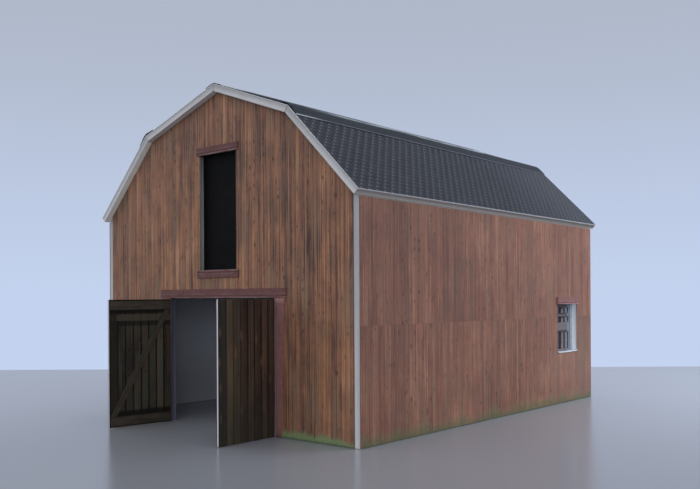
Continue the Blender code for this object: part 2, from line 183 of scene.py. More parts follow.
class BarnColours(bpy.types.PropertyGroup):
    """Colours of the barn's materials."""

    foam: colour("Foam edge", "Cut edge of the foam board", (0.46, 0.455, 0.475))
    liner: colour("Board liner", "Outer paper of the foam board", (0.42, 0.415, 0.41))
    inside: colour("Inside", "Board faces inside the barn", (0.88, 0.90, 0.99))
    soffit: colour("Soffit", "Underside of the roof boards", (0.72, 0.67, 0.64))
    # Painted light: the window reveal is painted much paler than the other foam cuts
    reveal: colour("Window reveal", "Cut edge round the window", (0.86, 0.88, 0.93))
    # Painted shade: the doorway's cut edge is painted dark
    jamb: colour("Door jamb", "Darkened cut edge round the doorway", (0.10, 0.10, 0.14))
    # Painted shade: the eave edge is a darker copy of the foam cut
    eave: colour("Eave edge", "Cut edge of the roof boards along the eaves", (0.245, 0.218, 0.205))
    # Painted shade: the hayloft reveal is a darker copy of the foam cut
    loft_reveal: colour("Hayloft reveal", "Cut edge round the hayloft opening", (0.30, 0.30, 0.305))
    card: colour("White card", "Cut edge of a door leaf", (0.60, 0.61, 0.64))
    paper_core: colour("Paper core", "Cut edge of a printed sheet", (0.66, 0.67, 0.70))
    front_dark: colour("Front wood, dark", "Darkest planks of the end walls", (0.060, 0.036, 0.030))
    front_wood: colour("Front wood", "Middle tone of the end walls", (0.254, 0.117, 0.073))
    front_light: colour("Front wood, light", "Lightest grain of the end walls", (0.42, 0.225, 0.135))
    side_dark: colour("Side wood, dark", "Darkest planks of the side walls", (0.085, 0.044, 0.036))
    side_wood: colour("Side wood", "Middle tone of the side walls", (0.188, 0.078, 0.053))
    side_light: colour("Side wood, light", "Lightest grain of the side walls", (0.33, 0.16, 0.105))
    # Painted light: the side print is painted paler low down near the rear
    side_painted_light: colour("Side wood, painted light", "Painted light near the rear of the side walls", (0.34, 0.24, 0.19))
    orange: colour("Fresh wood", "Orange streaks in the planks", (0.33, 0.145, 0.070))
    stain: colour("Weather stain", "Brown-green stain on the planks", (0.125, 0.080, 0.054))
    knot: colour("Knot", "Knots in the printed planks", (0.052, 0.026, 0.019))
    grass_dark: colour("Grass, dark", "Foot of the printed grass", (0.060, 0.105, 0.048))
    grass_light: colour("Grass, light", "Tips of the printed grass", (0.17, 0.25, 0.115))
    slate: colour("Slate", "Body of a slate", (0.0175, 0.0185, 0.0245))
    slate_line: colour("Slate line", "Lit edges between the slates", (0.112, 0.115, 0.138))
    strip: colour("Roof strip", "Plain strips over the folds of the roof", (0.017, 0.020, 0.027))
    strip_wear: colour("Strip wear", "Rubbed folds and edges of the strips", (0.29, 0.33, 0.36))
    strip_edge: colour("Strip edge", "Dull cut edge of the roof strips", (0.17, 0.175, 0.19))
    trim: colour("Trim", "Red-brown lintels and sill", (0.155, 0.062, 0.058))
    # Painted light: a paler copy of the trim for the door post that stands in shade beside the open leaf
    trim_painted_light: colour("Trim painted light for shade", "Red-brown door post beside the open leaf", (0.250, 0.118, 0.110))
    trim_line: colour("Trim line", "Pale inner line of the trim", (0.25, 0.155, 0.15))
    leaf_dark: colour("Door, dark", "Darkest door planks", (0.012, 0.010, 0.009))
    leaf_wood: colour("Door", "Middle tone of the doors' outer faces", (0.100, 0.046, 0.031))
    leaf_light: colour("Door, light", "Lightest door planks", (0.150, 0.095, 0.056))
    leaf_olive: colour("Door, olive", "Olive planks on the doors' outer faces", (0.052, 0.046, 0.030))
    leaf_end: colour("Door, last plank", "Dark plank beside a door's free edge", (0.013, 0.016, 0.018))
    leaf_foot: colour("Door, foot", "Dim foot of a door's outer face", (0.020, 0.021, 0.015))
    leaf_inside: colour("Door inside", "Middle tone of the doors' inner faces", (0.074, 0.068, 0.050))
    ledge: colour("Ledge", "Ledges and braces on the doors", (0.054, 0.043, 0.032))
    # Painted shade: a near-black card stands in for the shade of the unlit loft
    loft_shade_black: colour("Black card", "Card behind the hayloft opening", (0.006, 0.0055, 0.0055))
    window_card: colour("Window card", "White card round the window", (0.60, 0.64, 0.72))
    bar: colour("Window bar", "Printed bars of the window", (0.118, 0.102, 0.102))
    pane: colour("Pane", "Dark film behind the bars", (0.026, 0.020, 0.024))
    stile: colour("Window stile", "Grey-blue edge of the printed window", (0.17, 0.19, 0.225))


class BarnStage(bpy.types.PropertyGroup):
    """Floor, light and camera."""

    floor: colour("Floor", "Plain floor", (0.258, 0.268, 0.305))
    horizon: colour("Backdrop, low", "Backdrop at the level of the eye", (0.55, 0.65, 0.865))
    upper: colour("Backdrop, high", "Backdrop above the barn", (0.43, 0.48, 0.585))
    dome: colour("Dome", "Soft light from all round", (0.95, 0.975, 1.0))
    dome_level: share("Dome level", "Strength of the soft light", 1.15, most=10)
    lamp: colour("Lamp", "Soft lamp by the far end", (0.80, 0.90, 1.0))
    lamp_level: share("Lamp power", "Power of the soft lamp", 4.0, most=100)
    lamp_size: length("Lamp size", "Side of the soft lamps", 0.45)
    front_lamp_level: share("Front lamp power", "Power of the soft lamp before the doorway", 0.8, most=100)
    floor_rough: share("Floor roughness", "Sheen of the floor", 0.22)
    camera_x: FloatProperty(name="Camera X", description="Camera place", default=0.5130, unit="LENGTH")
    camera_y: FloatProperty(
        name="Camera Y", description="Camera place", default=FRONT_FACE - 0.43738, unit="LENGTH"
    )
    camera_z: FloatProperty(name="Camera Z", description="Camera place", default=0.10656, unit="LENGTH")
    camera_turn: FloatProperty(
        name="Turn", description="Turn of the view to the left",
        default=math.radians(40.21), subtype="ANGLE",
    )
    camera_roll: FloatProperty(
        name="Roll", description="Tilt of the picture", default=math.radians(0.294), subtype="ANGLE"
    )
    focal_pixels: share("Focal length", "Focal length in picture pixels", 811.2, most=10000)
    rise_pixels: share("Rise", "How far the frame is raised, in picture pixels", 52.7, most=1000)
    table_depth: length("Table depth", "Distance of the floor's far edge from the camera", 1.218)


class Field:
    """A number or colour that changes over a surface: one output socket, on which sums can be written."""

    def __init__(self, finish, socket):
        self.finish = finish
        self.socket = socket

    def __add__(self, other):
        return self.finish.maths("ADD", self, other)

    def __radd__(self, other):
        return self.finish.maths("ADD", other, self)

    def __sub__(self, other):
        return self.finish.maths("SUBTRACT", self, other)

    def __rsub__(self, other):
        return self.finish.maths("SUBTRACT", other, self)

    def __mul__(self, other):
        return self.finish.maths("MULTIPLY", self, other)

    def __rmul__(self, other):
        return self.finish.maths("MULTIPLY", other, self)

    def __truediv__(self, other):
        return self.finish.maths("DIVIDE", self, other)

    def __rtruediv__(self, other):
        return self.finish.maths("DIVIDE", other, self)

    def __mod__(self, other):
        return self.finish.maths("FLOORED_MODULO", self, other)

    def __gt__(self, other):
        return self.finish.maths("GREATER_THAN", self, other)

    def __lt__(self, other):
        return self.finish.maths("LESS_THAN", self, other)

    def __abs__(self):
        return self.finish.maths("ABSOLUTE", self)

    def __floor__(self):
        return self.finish.maths("FLOOR", self)


class Finish:
    """A node tree with a short way to write each node."""

    def __init__(self, tree):
        self.tree = tree

    def node(self, kind, settings=None, values=None):
        """Add a node: its settings first, then a number, colour or link on each named socket."""
        node = self.tree.nodes.new(kind)
        for name, setting in (settings or {}).items():
            if name == "stops":
                self.set_stops(node.color_ramp, setting)
            else:
                setattr(node, name, setting)
        for name, value in (values or {}).items():
            self.feed(node.inputs[name], value)
        return node

    def set_stops(self, ramp, stops):
        while len(ramp.elements) > 1:
            ramp.elements.remove(ramp.elements[-1])
        for index, (place, shade) in enumerate(stops):
            stop = ramp.elements[0] if index == 0 else ramp.elements.new(place)
            stop.position = place
            stop.color = (*shade, 1)

    def feed(self, socket, value):
        if isinstance(value, Field):
            self.tree.links.new(value.socket, socket)
        elif socket.type == "RGBA":
            socket.default_value = (*value, 1)
        else:
            socket.default_value = value

    def field(self, node, name):
        return Field(self, node.outputs[name])

    def maths(self, operation, *values):
        node = self.node("ShaderNodeMath", {"operation": operation}, dict(enumerate(values)))
        return self.field(node, "Value")

    def place(self):
        """Three coordinates in the piece's own frame, in metres."""
        coordinates = self.node("ShaderNodeTexCoord")
        parts = self.node("ShaderNodeSeparateXYZ", None, {"Vector": self.field(coordinates, "Object")})
        return [self.field(parts, axis) for axis in "XYZ"]

    def point(self, x, y, z=0.0):
        return self.field(self.node("ShaderNodeCombineXYZ", None, {"X": x, "Y": y, "Z": z}), "Vector")

    def smooth(self, value, low, high):
        """From 0 at low to 1 at high, with soft ends."""
        settings = {"interpolation_type": "SMOOTHSTEP"}
        values = {"Value": value, "From Min": low, "From Max": high}
        return self.field(self.node("ShaderNodeMapRange", settings, values), "Result")

    def band(self, value, low, high, soft):
        """1 between low and high, softened over both ends."""
        return self.smooth(value, low - soft, low + soft) * (1 - self.smooth(value, high - soft, high + soft))

    def noise(self, place, detail=2.0, roughness=0.5):
        values = {"Vector": place, "Scale": 1.0, "Detail": detail, "Roughness": roughness}
        return self.field(self.node("ShaderNodeTexNoise", None, values), "Fac")

    def chance(self, x, y, z=0.0):
        """A number of its own for each whole place."""
        node = self.node("ShaderNodeTexWhiteNoise", None, {"Vector": self.point(x, y, z)})
        return self.field(node, "Value")

    def cells(self, place, randomness):
        """Distance to the middle of each cell, and a number of its own for each cell."""
        values = {"Vector": place, "Scale": 1.0, "Randomness": randomness}
        node = self.node("ShaderNodeTexVoronoi", {"voronoi_dimensions": "2D"}, values)
        own = self.node("ShaderNodeSeparateColor", None, {"Color": self.field(node, "Color")})
        return self.field(node, "Distance"), self.field(own, "Red")

    def blend(self, amount, first, second):
        node = self.node("ShaderNodeMix", {"data_type": "RGBA"}, {0: amount, 6: first, 7: second})
        return Field(self, node.outputs[2])

    def shade(self, tone, stops):
        return self.field(self.node("ShaderNodeValToRGB", {"stops": stops}, {"Fac": tone}), "Color")


class Surface(Finish):
    """A material on a Principled shader."""

    def __init__(self, name, roughness, gloss=0.5):
        self.material = bpy.data.materials.new(name)
        self.material.use_nodes = True
        super().__init__(self.material.node_tree)
        self.shader = self.tree.nodes["Principled BSDF"]
        self.shader.inputs["Roughness"].default_value = roughness
        self.shader.inputs["Specular IOR Level"].default_value = gloss

    def paint(self, value):
        self.feed(self.shader.inputs["Base Color"], value)

    def roughen(self, value):
        self.feed(self.shader.inputs["Roughness"], value)

    def emboss(self, height, distance):
        values = {"Height": height, "Distance": distance, "Strength": 1.0}
        bump = self.node("ShaderNodeBump", None, values)
        self.feed(self.shader.inputs["Normal"], self.field(bump, "Normal"))


class PlankLook(NamedTuple):
    """How one plank print looks."""

    dark: tuple
    wood: tuple
    orange: tuple
    light: tuple
    stain: tuple
    knot: tuple
    plank: float
    contrast: float = 1.0
    spread: float = 0.42
    joint: float = 0.7
    knots: float = 0.6
    streaks: float = 0.3
    stains: float = 0.5
    seed: float = 0.0
    knot_pitch: float = 0.0085
    joint_reach: float = 0.00045
    joint_half: float = 0.00012


class GrassLook(NamedTuple):
    """How one strip of printed grass looks."""

    height: float
    cover: float
    root: float
    light: float


def plank_print(finish, across, up, look):
    """Colour of vertical printed planks, from the place across and up the sheet in metres."""
    wander = finish.noise(finish.point(across * 70, look.seed), detail=1)
    column = (across + (wander - 0.5) * look.plank * 0.9) / look.plank
    plank = math.floor(column)
    along = column % 1
    tone_own = finish.chance(plank, look.seed)
    grain = finish.noise(finish.point(across * 2300, up * 45, plank * 3.7 + look.seed), 3, 0.62)
    fibre = finish.noise(finish.point(across * 850, up * 11, plank * 1.3 + look.seed), 2)
    smudge = finish.noise(finish.point(across * 110, up * 48, look.seed), 3, 0.6)
    sheet = finish.noise(finish.point(across * 16, up * 11, look.seed + 2), 2)
    tone = (
        0.5
        + (tone_own - 0.5) * look.spread
        + (grain - 0.5) * look.contrast * 1.3
        + (fibre - 0.5) * look.contrast * 1.9
        + (smudge - 0.5) * look.contrast * 0.95
        + (sheet - 0.5) * 0.7
    )
    middle = between(look.dark, look.wood, 0.5)
    stops = [(0.0, look.dark), (0.27, middle), (0.5, look.wood), (0.7, look.orange), (1.0, look.light)]
    paint = finish.shade(tone, stops)
    stain = finish.noise(finish.point(across * 42, up * 20, look.seed + 9), 3, 0.6)
    streak = finish.noise(finish.point(across * 240, up * 7, look.seed + 4), 2)
    blotch = finish.noise(finish.point(across * 420, up * 130, look.seed + 6), 2)
    paint = finish.blend(finish.smooth(stain, 0.5, 0.68) * look.stains, paint, look.stain)
    faded = finish.noise(finish.point(across * 130, up * 14, look.seed + 13), 2)
    faded_tint = (look.wood[0] * 0.92, look.wood[1] * 1.25, look.wood[2] * 1.3)
    paint = finish.blend(finish.smooth(faded, 0.5, 0.66) * 0.6, paint, faded_tint)
    paint = finish.blend(finish.smooth(streak, 0.54, 0.7) * look.streaks, paint, look.dark)
    paint = finish.blend(finish.smooth(blotch, 0.6, 0.74) * 0.5, paint, look.knot)
    knot_place = finish.point(across / look.plank * 0.83 + wander, up / look.knot_pitch, look.seed)
    near_knot, own_knot = finish.cells(knot_place, 1.0)
    reach = own_knot * 0.7 + 0.08
    knot = (1 - finish.smooth(near_knot, reach * 0.2, reach)) * (own_knot < look.knots)
    dense = finish.smooth(finish.noise(finish.point(across * 75, up * 12, look.seed + 17), 2), 0.42, 0.62)
    paint = finish.blend(knot * (0.15 + 0.6 * dense), paint, look.knot)
    edge = abs(along - 0.5) * look.plank
    half = look.plank / 2
    strength = finish.chance(plank, look.seed + 3) * 0.7 + 0.3
    joint = finish.smooth(edge, half - look.joint_reach, half - look.joint_half) * strength * look.joint
    paint = finish.blend(joint, paint, look.knot)
    lit = finish.smooth(along, 0.06, 0.12) * (1 - finish.smooth(along, 0.16, 0.3))
    lit = lit * (finish.chance(plank, look.seed + 7) > 0.55)
    return finish.blend(lit * 0.42, paint, look.light)


def grass_print(finish, paint, across, up, colours, look, seed):
    """Irregular grass along the foot of a plank print."""
    blade = finish.noise(finish.point(across * 1300, up * 60, seed), 2)
    tuft = finish.noise(finish.point(across * 260, seed + 1), 2)
    clump = finish.noise(finish.point(across * 38, seed), 2)
    uneven = 0.75 * finish.smooth(clump, 0.3, 0.7) + (tuft - 0.5) * 0.9 + (blade - 0.5) * 1.3
    top = look.height * (0.3 + uneven)
    grown = 1 - finish.smooth(up, top * look.root, top + 0.0014)
    green = finish.noise(finish.point(across * 700, up * 420, seed + 2), 2)
    tone = finish.smooth(up, 0, look.height * 0.8) * 0.55 + (green - 0.5) * 1.6 + look.light
    tint = finish.blend(tone, colours.grass_dark, colours.grass_light)
    return finish.blend(grown * (0.7 + 0.35 * green) * look.cover, paint, tint)


def wall_look(colours, sizes, side, seed):
    if side:
        fresh = between(colours.side_wood, colours.side_light, 0.5)
        tones = (colours.side_dark, colours.side_wood, fresh, colours.side_light)
        wear = {
            "contrast": 0.62, "spread": 0.2, "joint": 0.6, "streaks": 0.26, "stains": 0.4, "knots": 0.4,
        }
    else:
        tones = (colours.front_dark, colours.front_wood, colours.orange, colours.front_light)
        wear = {
            "contrast": 0.85, "spread": 0.36, "joint": 0.75, "streaks": 0.3, "stains": 0.45, "knots": 0.38,
        }
    tones = [tuple(tone) for tone in (*tones, colours.stain, colours.knot)]
    return PlankLook(*tones, sizes.plank, seed=seed, **wear)


def paint_side_light_and_shade(finish, paint, across, up, colours):
    """A side print with painted shade high up by the front and painted light low down by the rear."""
    along, height = SIDE_SHADE_PART
    deep = (1 - finish.smooth(across, *along)) * finish.smooth(up, *height)
    paint = finish.blend(deep * 0.26, paint, tuple(colours.side_dark))
    along, height = SIDE_LIGHT_PART
    faded = finish.smooth(across, *along) * (1 - finish.smooth(up, *height))
    return finish.blend(faded * 0.14, paint, tuple(colours.side_painted_light))


def wall_finish(name, axis, side, seed, settings, shades=()):
    """Printed planks over a strip of printed grass."""
    sizes, colours = settings.sizes, settings.colours
    surface = Surface(name, 0.55, 0.3)
    place = surface.place()
    across, up = place[axis], place[2]
    paint = plank_print(surface, across, up, wall_look(colours, sizes, side, seed))
    for start, end in shades:
        column = surface.band(across, start, end, PRINT_SOFTNESS)
        paint = surface.blend(column * 0.34, paint, tuple(colours.side_dark))
    if side:
        # Painted shade high up by the front and painted light low down by the rear
        paint = paint_side_light_and_shade(surface, paint, across, up, colours)
        grass = GrassLook(sizes.side_grass, cover=0.62, root=0.1, light=-0.15)
    else:
        grass = GrassLook(sizes.grass, cover=1.0, root=0.45, light=0.75)
    paint = grass_print(surface, paint, across, up, colours, grass, seed)
    foot = 1 - surface.smooth(up, 0.0004, 0.0016)
    paint = surface.blend(foot * 0.6, paint, scaled(colours.grass_dark, 0.6))
    surface.paint(paint)
    fibre = surface.noise(surface.point(place[0] * 2500, place[1] * 2500, up * 2500), 2)
    surface.roughen(0.5 + fibre * 0.16)
    surface.emboss(fibre, 0.00003)
    return surface.material


def board_finish(name, tint, foot=0.0):
    """The smooth paper liner of a foam board, a little scuffed, with painted shade near the table where
    asked.
    """
    surface = Surface(name, 0.6, 0.35)
    x, y, z = surface.place()
    cloud = surface.noise(surface.point(x * 45, y * 45, z * 45), 3)
    fine = surface.noise(surface.point(x * 1400, y * 1400, z * 1400), 2)
    paint = surface.blend(0.08 + 0.2 * cloud, tuple(tint), scaled(tint, 0.72))
    if foot:
        # Painted shade towards the table
        low = 1 - surface.smooth(z, *INSIDE_SHADE)
        paint = surface.blend(low * foot, paint, scaled(tint, 0.1))
    surface.paint(paint)
    surface.roughen(0.55 + fine * 0.2)
    surface.emboss(fine, 0.00002)
    return surface.material


def foam_finish(name, tint):
    """The knife-cut foam edge of a board: fine pores and faint drag marks."""
    surface = Surface(name, 0.75, 0.3)
    x, y, z = surface.place()
    pores = surface.noise(surface.point(x * 1900, y * 1900, z * 1900), 2, 0.65)
    drag = surface.noise(surface.point(x * 160, y * 160, z * 60), 2)
    tone = surface.smooth(pores, 0.3, 0.7) * 0.22 + drag * 0.3
    pale = tuple(min(1, part) for part in scaled(tint, 1.12))
    surface.paint(surface.blend(tone, pale, scaled(tint, 0.7)))
    surface.roughen(0.68 + pores * 0.2)
    surface.emboss(pores, 0.00012)
    return surface.material


def reveal_finish(name, tint, dark):
    """The cut edge round the hayloft opening: scuffed, with painted shade dimming both ends and deep painted
    shade at its top and back.
    """
    surface = Surface(name, 0.7, 0.2)
    x, y, z = surface.place()
    low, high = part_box("loft_backing")
    fine = surface.noise(surface.point(x * 900, y * 900, z * 300), 3, 0.6)
    middle = (low.z + high.z) / 2
    end = surface.smooth(abs(z - middle), 0.015, (high.z - low.z) / 2)
    tone = end * 0.5 + fine * 0.45
    paint = surface.blend(tone, tuple(tint), scaled(tint, 0.45))
    top = surface.smooth(z, LOFT_TOP - 0.0006, LOFT_TOP - 0.0002)
    behind = surface.smooth(y, FRONT_FACE + BOARD * 0.62, FRONT_FACE + BOARD * 0.78)
    surface.paint(surface.blend(surface.maths("MAXIMUM", top, behind), paint, tuple(dark)))
    surface.emboss(fine, 0.00005)
    return surface.material


def strip_core_finish(pale, dull):
    """The cut edge of the roof strips: pale by the front, darker further along."""
    surface = Surface("strip_core", 0.6, 0.3)
    x, y, z = surface.place()
    fine = surface.noise(surface.point(x * 1500, y * 500, z * 1500), 2)
    patchy = surface.noise(surface.point(y * 60, 1.0), 2)
    far = surface.smooth(y + (patchy - 0.5) * 0.05, FRONT_FACE + 0.008, FRONT_FACE + 0.035)
    paint = surface.blend(far, tuple(pale), tuple(dull))
    surface.paint(surface.blend(fine * 0.4, paint, scaled(dull, 0.6)))
    surface.emboss(fine, 0.00003)
    return surface.material


def card_finish(name, tint, line=None, axis=0, edge=0.0, run=0.0, gloss=0.3):
    """Printed card with a faint grain and, where a line is given, a pale line beside one edge."""
    surface = Surface(name, 0.55, gloss)
    x, y, z = surface.place()
    fine = surface.noise(surface.point(x * 420, y * 420, z * 420), 3, 0.6)
    cloud = surface.noise(surface.point(x * 90, y * 90, z * 90), 2)
    tint = tuple(tint)
    tone = fine * 0.55 + cloud * 0.5
    paint = surface.blend(tone, scaled(tint, 1.45), scaled(tint, 0.5))
    if line is not None:
        long_way = (z if axis == 0 else x) + y
        away = abs((x, y, z)[axis] - edge)
        patchy = surface.smooth(surface.noise(surface.point(long_way * 55, away * 300), 2), 0.36, 0.62)
        grain = surface.noise(surface.point(long_way * 120, away * 2400), 3, 0.6)
        paint = surface.blend(surface.smooth(grain, 0.5, 0.72) * 0.5, paint, scaled(tint, 0.4))
        band = 1 - surface.smooth(away, run * 0.6, run * 1.3)
        paint = surface.blend(band * patchy * 0.85, paint, tuple(line))
        groove = 1 - surface.smooth(abs(away - run * 2.0), run * 0.2, run * 0.6)
        paint = surface.blend(groove * 0.55, paint, scaled(tint, 0.3))
        rib = 1 - surface.smooth(abs(away - run * 3.6), run * 0.3, run * 0.8)
        paint = surface.blend(rib * 0.3 * patchy, paint, tuple(line))
    surface.paint(paint)
    surface.roughen(0.45 + fine * 0.25)
    surface.emboss(fine, 0.00004)
    return surface.material


def copied_shape(node):
    """A CAD node's solid as an editable shape, its flat faces whole again."""
    shape = bmesh.new()
    shape.from_mesh(frame["nodes"][node].data)
    bmesh.ops.remove_doubles(shape, verts=shape.verts, dist=WELD)
    bmesh.ops.dissolve_limit(shape, angle_limit=FLAT, verts=shape.verts, edges=shape.edges)
    return shape


def broad_normal(shape):
    """The way that the widest face looks, turned to point out of the barn."""
    widest = max(shape.faces, key=lambda face: face.calc_area())
    normal = widest.normal.copy()
    outward = widest.calc_center_median() - BARN_MIDDLE
    return normal if normal.dot(outward) > 0 else -normal


def round_edges(shape, reach):
    """Soften the sharp edges of a shape."""
    edges = [edge for edge in shape.edges if edge.is_manifold and edge.calc_face_angle() > SHARP]
    bmesh.ops.bevel(shape, geom=edges, offset=reach, segments=2, affect="EDGES", clamp_overlap=True)


def push_back(shape, outward, depth):
    """Move a sheet's back to the face that it is glued to."""
    reach = min(vertex.co.dot(outward) for vertex in shape.verts)
    for vertex in shape.verts:
        if vertex.co.dot(outward) < reach + WELD:
            vertex.co -= outward * depth


def make_piece(name, shape, body, nodes, finishes, place=None):
    """Turn a shape into a piece that rides on its body and stands for its CAD nodes."""
    mesh = bpy.data.meshes.new(name)
    shape.to_mesh(mesh)
    shape.free()
    piece = bpy.data.objects.new(name, mesh)
    bpy.context.scene.collection.objects.link(piece)
    if place is not None:
        piece.matrix_world = place
    for finish in finishes:
        mesh.materials.append(finish)
    mesh.shade_smooth()
    mesh.set_sharp_from_angle(angle=CREASE)
    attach(piece, body)
    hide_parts(*nodes)
    return piece


def dress_node(node, finish):
    """Give a CAD node that keeps its own shape a better finish."""
    mesh = frame["nodes"][node].data
    mesh.materials.clear()
    mesh.materials.append(finish)


def foam_board(node, settings, back, edges=()):
    """A foam board with rounded liners and the foam sunk between them along each cut.

    Edges pairs the box of an opening, or a direction that a cut looks in, with the finish of those cuts.
    """
    sizes, finishes = settings.sizes, settings.finishes
    shape = copied_shape(node)
    outward = broad_normal(shape)
    round_edges(shape, sizes.edge_round)
    cuts = []
    for face in shape.faces:
        facing = face.normal.dot(outward)
        if facing < -FACING:
            face.material_index = 2
        elif abs(facing) < SIDEWAYS and face.calc_area() > sizes.liner * sizes.liner * 10:
            cuts.append(face)
    bmesh.ops.inset_individual(shape, faces=cuts, thickness=sizes.liner, depth=0)
    for face in cuts:
        face.material_index = 1
    bmesh.ops.inset_individual(shape, faces=cuts, thickness=sizes.foam_sink, depth=-sizes.foam_sink)
    materials = [finishes.liner, finishes.foam, back]
    for which, finish in edges:
        materials.append(finish)
        for face in shape.faces:
            if abs(face.normal.dot(outward)) < FACING and belongs(face, which):
                face.material_index = len(materials) - 1
    return make_piece(f"{node}_foam_board", shape, "barn", [node], materials)


def belongs(face, which):
    """Whether a face lies in a box, given as two corners, or looks along a direction."""
    if isinstance(which, Vector):
        return face.normal.dot(which) > math.cos(ALIKE)
    low, high = which
    middle = face.calc_center_median()
    return all(low[axis] < middle[axis] < high[axis] for axis in range(3))


class Finishes:
    """Materials that several pieces share, made when first asked for."""

    def __init__(self, colours):
        self.liner = board_finish("board_liner", colours.liner)
        self.foam = foam_finish("foam_edge", colours.foam)
        # The inside of the walls gets painted shade towards the table
        self.inside = board_finish("board_inside", colours.inside, foot=0.42)
        self.soffit = board_finish("board_soffit", colours.soffit)
        # Painted light: the window reveal is a paler copy of the board's cut edges
        self.reveal = board_finish("window_reveal_painted_light", colours.reveal)
        # Painted shade: the doorway's cut edge is painted dark
        self.jamb = board_finish("door_jamb_painted_shade", colours.jamb)
        # Painted shade: the eave edge is a darker copy of the foam cut
        self.eave = foam_finish("eave_edge_painted_shade", colours.eave)
        # Painted shade: the hayloft reveal is darkened, deepest at its top and back
        self.loft_reveal = reveal_finish("loft_reveal", colours.loft_reveal, colours.loft_shade_black)
        self.strip_core = strip_core_finish(colours.paper_core, colours.strip_edge)
        self.core = foam_finish("paper_core", colours.paper_core)
        self.card = foam_finish("card_edge", colours.card)
        self.print_edge = foam_finish("wood_paper_edge", colours.side_wood)
        self.leaf_edge = foam_finish("leaf_paper_edge", colours.leaf_wood)


class Settings:
    """The sizes, colours and shared materials that the operators work with."""

    shared = None

    def __init__(self, scene):
        self.sizes = scene.barn_sizes
        self.colours = scene.barn_colours
        if Settings.shared is None:
            Settings.shared = Finishes(self.colours)
        self.finishes = Settings.shared


def around(*nodes):
    """The box round several CAD nodes, made two boards wider and deeper on each side."""
    boxes = [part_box(node) for node in nodes]
    deep = Vector((BOARD, BOARD, 0)) * 2
    low = Vector([min(box[0][axis] for box in boxes) for axis in range(3)])
    high = Vector([max(box[1][axis] for box in boxes) for axis in range(3)])
    return low - deep, high + deep


class BARN_OT_boards(bpy.types.Operator):
    """Build the foam boards of the walls and the roof"""

    bl_idname = "barn.boards"
    bl_label = "Foam Boards"

    def execute(self, context):
        settings = Settings(context.scene)
        finishes = settings.finishes
        doorway = around("door_post_left", "door_post_right", "door_lintel")
        loft = around("loft_lintel", "loft_sill")
        window = around("window_card", "window_lintel", "window_sill")
        openings = ((doorway, finishes.jamb), (loft, finishes.loft_reveal))
        foam_board("front_wall", settings, finishes.inside, openings)
        foam_board("right_wall", settings, finishes.inside, [(window, finishes.reveal)])
        foam_board("rear_wall", settings, finishes.inside)
        foam_board("left_wall", settings, finishes.inside)
        for slope in SLOPES:
            ways = (Vector((-1, 0, 0)), Vector((1, 0, 0)), Vector((0, 0, -1)), self.down_slope(slope))
            eaves = [(way, finishes.eave) for way in ways if "lower" in slope]
            foam_board(f"roof_board_{slope}", settings, finishes.soffit, eaves)
        return {"FINISHED"}

    def down_slope(self, slope):
        """The way down one slope of the roof."""
        shape = copied_shape(f"roof_board_{slope}")
        outward = broad_normal(shape)
        shape.free()
        return Vector((outward.z * math.copysign(1, outward.x), 0, -abs(outward.x)))


def printed_sheet(node, name, shape, finish, settings):
    """A printed sheet, glued down, with its cut edges in the colour of the print."""
    outward = broad_normal(shape)
    for face in shape.faces:
        if abs(face.normal.dot(outward)) < SIDEWAYS:
            face.material_index = 1
    make_piece(name, shape, "barn", [node], [finish, settings.finishes.print_edge])


def trimmed(shape, point, normal):
    """Cut away what lies beyond a plane, and close the cut."""
    geometry = shape.verts[:] + shape.edges[:] + shape.faces[:]
    cut = bmesh.ops.bisect_plane(
        shape, geom=geometry, plane_co=point, plane_no=normal, clear_outer=True, dist=WELD / 10
    )
    edges = [part for part in cut["geom_cut"] if isinstance(part, bmesh.types.BMEdge)]
    bmesh.ops.holes_fill(shape, edges=edges)


class BARN_OT_papers(bpy.types.Operator):
    """Glue the printed plank papers on the walls"""

    bl_idname = "barn.papers"
    bl_label = "Wall Papers"

    def execute(self, context):
        settings = Settings(context.scene)
        for index, wall in enumerate(("front", "rear")):
            finish = wall_finish(f"{wall}_wood_print", 0, False, 3.0 + 5 * index, settings)
            shape = copied_shape(f"{wall}_paper")
            push_back(shape, broad_normal(shape), GLUE_GAP)
            printed_sheet(f"{wall}_paper", f"{wall}_wood_sheet", shape, finish, settings)
        for index, wall in enumerate(("right", "left")):
            self.side_sheets(wall, index, settings)
        return {"FINISHED"}

    def side_sheets(self, wall, index, settings):
        """Four sheets that meet in a cross, each with the print at its own offset."""
        sizes = settings.sizes
        seam_y = FRONT_FACE + sizes.seam_from_front
        along, up = Vector((0, 1, 0)), Vector((0, 0, 1))
        parts = (("near_low", -1, -1), ("near_high", -1, 1), ("far_low", 1, -1), ("far_high", 1, 1))
        for number, (part, way_along, way_up) in enumerate(parts):
            shape = copied_shape(f"{wall}_paper")
            push_back(shape, broad_normal(shape), GLUE_GAP)
            for way, axis, seam in ((way_along, along, seam_y), (way_up, up, sizes.seam_height)):
                trimmed(shape, axis * (seam + way * sizes.seam / 2), axis * -way)
            seed = 20.0 + 10 * index + 2 * number
            shades = [(FRONT_FACE + start, FRONT_FACE + end) for start, end in DARK_COLUMNS.get(part, ())]
            finish = wall_finish(f"{wall}_wood_print_{part}", 1, True, seed, settings, shades)
            printed_sheet(
                f"{wall}_paper", f"{wall}_wood_sheet_{part}", shape, finish, settings
            )


